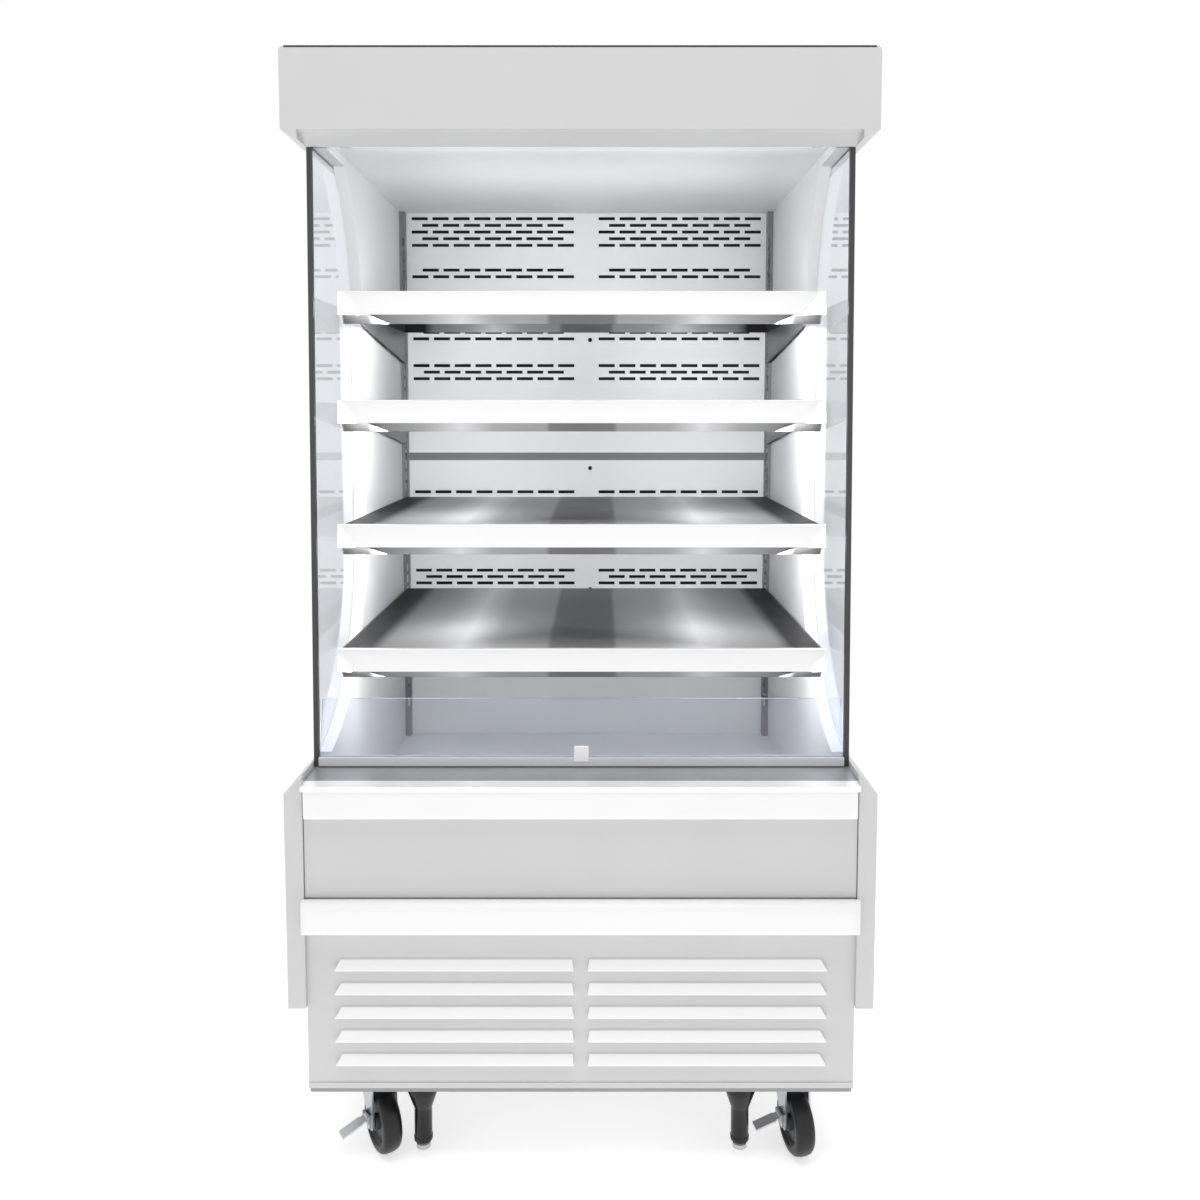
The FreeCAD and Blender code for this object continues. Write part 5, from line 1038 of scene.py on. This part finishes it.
    def _legs(self) -> None:
        """Moulded sleeves with a stepped collar, and turned feet."""
        for hand in ("left", "right"):
            low, high = extent(f"leg_foot_{hand}")
            x, y = (low.x + high.x) / 2, (low.y + high.y) / 2
            radius = (high.x - low.x) / 2
            foot = Bench.turned(
                f"turned_foot_{hand}",
                ((radius - 2.0, low.z), (radius, low.z + 1.5), (radius, low.z + 9.0),
                 (radius - 2.5, low.z + 10.0), (radius - 2.5, low.z + 12.0),
                 (radius - 0.6, low.z + 12.6), (radius - 0.6, high.z)),
                48, shift(x, y),
            )
            Bench.smooth(foot, 30)
            self.place(foot, BRIGHT_STEEL, f"foot_{hand}", (f"leg_foot_{hand}",), "foot_steel")
        sleeve = Bench.turned("leg_sleeve", self.sleeve, LARGE_ROUND_STEPS, ring=True)
        Bench.smooth(sleeve, 30)
        low, high = extent("leg_sleeves")
        y = (low.y + high.y) / 2
        reach = high.x - self.leg_flange
        sleeves = spread(sleeve, "moulded_leg_sleeves", [shift(-reach, y), shift(reach, y)])
        self.place(sleeves, LEG_NYLON, stands_for=("leg_sleeves",), slot="leg_black")


@dataclass(frozen=True)
class Softbox:
    """An area lamp: its place, what it points at and its size in metres, and its power in watts."""

    name: str
    place: tuple[float, float, float]
    target: tuple[float, float, float]
    size: tuple[float, float]
    power: float


@dataclass
class Stage:
    """Pale floor, soft lamps and the camera."""

    position: tuple[float, float, float] = (0.030, -1.975, 1.212)
    pitch: float = 4.0
    focal_px: float = 1033.0
    centre_row_px: float = 484.0
    image_px: float = 1200.0
    sensor_mm: float = 36.0
    floor_radius: float = 9.0
    world_strength: float = 0.53
    shadow_reach: tuple[float, float] = (0.55, 1.3)
    floor_lift: float = 0.55
    strip_powers: tuple[float, ...] = (0.95, 1.9, 2.3, 2.3)
    strip_place: float = 0.27
    strip_size: tuple[float, float] = (0.26, 0.03)
    # How far behind and under its rail a strip hangs, and where it points: outwards, back, down.
    strip_offset: tuple[float, float] = (0.04, 0.004)
    strip_aim: tuple[float, float, float] = (1.7, 0.15, 0.12)
    lamps: tuple[Softbox, ...] = (
        Softbox("front_softbox", (0.0, -3.3, 1.15), (0.0, 0.0, 1.1), (2.8, 2.4), 5.0),
        Softbox("left_softbox", (-2.3, -2.6, 1.5), (0.0, 0.0, 0.95), (1.6, 2.2), 3.0),
        Softbox("right_softbox", (2.3, -2.6, 1.5), (0.0, 0.0, 0.95), (1.6, 2.2), 3.0),
        Softbox("top_softbox", (0.0, -1.3, 4.4), (0.0, -0.7, 0.0), (2.6, 2.0), 62.0),
        Softbox("canopy_strip", (0.0, -0.302, 1.626), (0.0, 0.25, 1.2), (0.74, 0.02), 0.9),
        Softbox("ceiling_wash", (0.0, -0.12, 1.43), (0.0, 0.26, 1.62), (0.7, 0.06), 0.9),
    )

    def build(self) -> None:
        """Set up the camera, the lamps, the world and the floor."""
        self._camera()
        self._world()
        self._floor()
        for softbox in self.lamps:
            self._lamp(softbox)
        behind, under = self.strip_offset
        out, back, down = self.strip_aim
        for number, power in enumerate(self.strip_powers, 1):
            low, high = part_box(f"price_rail_{number}")
            for x in (-self.strip_place, self.strip_place):
                self._lamp(Softbox(f"shelf_strip_{number}", (x, high.y + behind, low.z - under),
                                   (x * out, back, low.z - down), self.strip_size, power))
        bpy.context.scene.view_settings.view_transform = "Standard"

    def _camera(self) -> None:
        """The photograph's view from the front, with the lens shifted as its framing is."""
        camera = bpy.data.objects.new("camera", bpy.data.cameras.new("camera"))
        camera.location = self.position
        camera.rotation_euler = (math.radians(90.0 - self.pitch), 0.0, 0.0)
        camera.data.sensor_width = self.sensor_mm
        camera.data.lens = self.sensor_mm * self.focal_px / self.image_px
        camera.data.shift_y = (self.centre_row_px - self.image_px / 2) / self.image_px
        bpy.context.scene.collection.objects.link(camera)
        bpy.context.scene.camera = camera

    def _world(self) -> None:
        """Soft even light, and plain white where the camera, metal or glass sees past the floor."""
        world = bpy.data.worlds.new("studio")
        world.use_nodes = True
        tree = world.node_tree
        tree.nodes.clear()
        strength = add_node(tree, "MapRange",
                            {"To Min": self.world_strength, "To Max": 1.0},
                            {"Value": self._seen_rays(tree)})
        light = add_node(tree, "Background", {"Color": linear(WHITE)},
                         {"Strength": strength.outputs["Result"]})
        add_node(tree, "OutputWorld", links={"Surface": light.outputs["Background"]})
        bpy.context.scene.world = world

    @staticmethod
    def _seen_rays(tree: Tree) -> Socket:
        """1 for camera, glossy and transmission rays, 0 for the rest.

        Args:
            tree: the nodes of the world or the floor.

        Returns:
            The value socket.
        """
        rays = add_node(tree, "LightPath").outputs
        seen = rays["Is Camera Ray"]
        for kind in ("Is Glossy Ray", "Is Transmission Ray"):
            seen = add_node(tree, "Math", links={0: seen, 1: rays[kind]},
                            operation="MAXIMUM").outputs[0]
        return seen

    def _floor(self) -> None:
        """A wide white floor that keeps the fridge's shadow."""
        Bench.clear()
        bpy.ops.mesh.primitive_circle_add(vertices=96, radius=self.floor_radius, fill_type="NGON")
        floor = bpy.context.object
        floor.name = "floor"
        material = bpy.data.materials.new("white_studio_floor")
        material.use_nodes = True
        tree = material.node_tree
        tree.nodes.clear()
        place = add_node(tree, "TexCoord").outputs["Object"]
        away = add_node(tree, "VectorMath", links={0: place}, operation="LENGTH")
        near, far = self.shadow_reach
        fade = add_node(tree, "MapRange", {"From Min": near, "From Max": far},
                        {"Value": away.outputs["Value"]}, interpolation_type="SMOOTHSTEP")
        share = add_node(tree, "Math", operation="MULTIPLY",
                         links={0: fade.outputs["Result"], 1: self._seen_rays(tree)})
        matt = add_node(tree, "BsdfDiffuse", {"Color": linear("#FBFBFB")})
        glow, lift = (
            add_node(tree, "Emission", {"Color": linear(WHITE), "Strength": strength})
            for strength in (1.0, self.floor_lift)
        )
        lit = add_node(tree, "AddShader",
                       links={0: matt.outputs["BSDF"], 1: lift.outputs["Emission"]})
        both = add_node(tree, "MixShader", links={
            0: share.outputs[0], 1: lit.outputs["Shader"], 2: glow.outputs["Emission"],
        })
        add_node(tree, "OutputMaterial", links={"Surface": both.outputs["Shader"]})
        floor.data.materials.append(material)

    @staticmethod
    def _lamp(softbox: Softbox) -> None:
        """One area lamp that the camera doesn't see.

        Args:
            softbox: where it stands, where it points, its size and its power.
        """
        lamp = bpy.data.lights.new(softbox.name, "AREA")
        lamp.shape = "RECTANGLE"
        lamp.size, lamp.size_y = softbox.size
        lamp.energy = softbox.power
        holder = bpy.data.objects.new(softbox.name, lamp)
        holder.location = softbox.place
        aim = Vector(softbox.target) - Vector(softbox.place)
        holder.rotation_euler = aim.to_track_quat("-Z", "Y").to_euler()
        holder.visible_camera = False
        holder.visible_glossy = "strip" not in softbox.name
        bpy.context.scene.collection.objects.link(holder)


def main() -> None:
    """Load the frame, dress it, add the detail pieces, and set the stage."""
    logging.basicConfig(level=logging.INFO, format="%(message)s")
    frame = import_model()
    nodes = frame["nodes"]
    paints = Paintbox()
    for finish, names in NODE_FINISHES.items():
        for name in names:
            paints.dress(nodes[name], finish)
    for assembly in (Canopy, Shelving, BaseFront, RunningGear):
        assembly(paints, nodes).build()
    Stage().build()


if __name__ == "__main__":
    main()
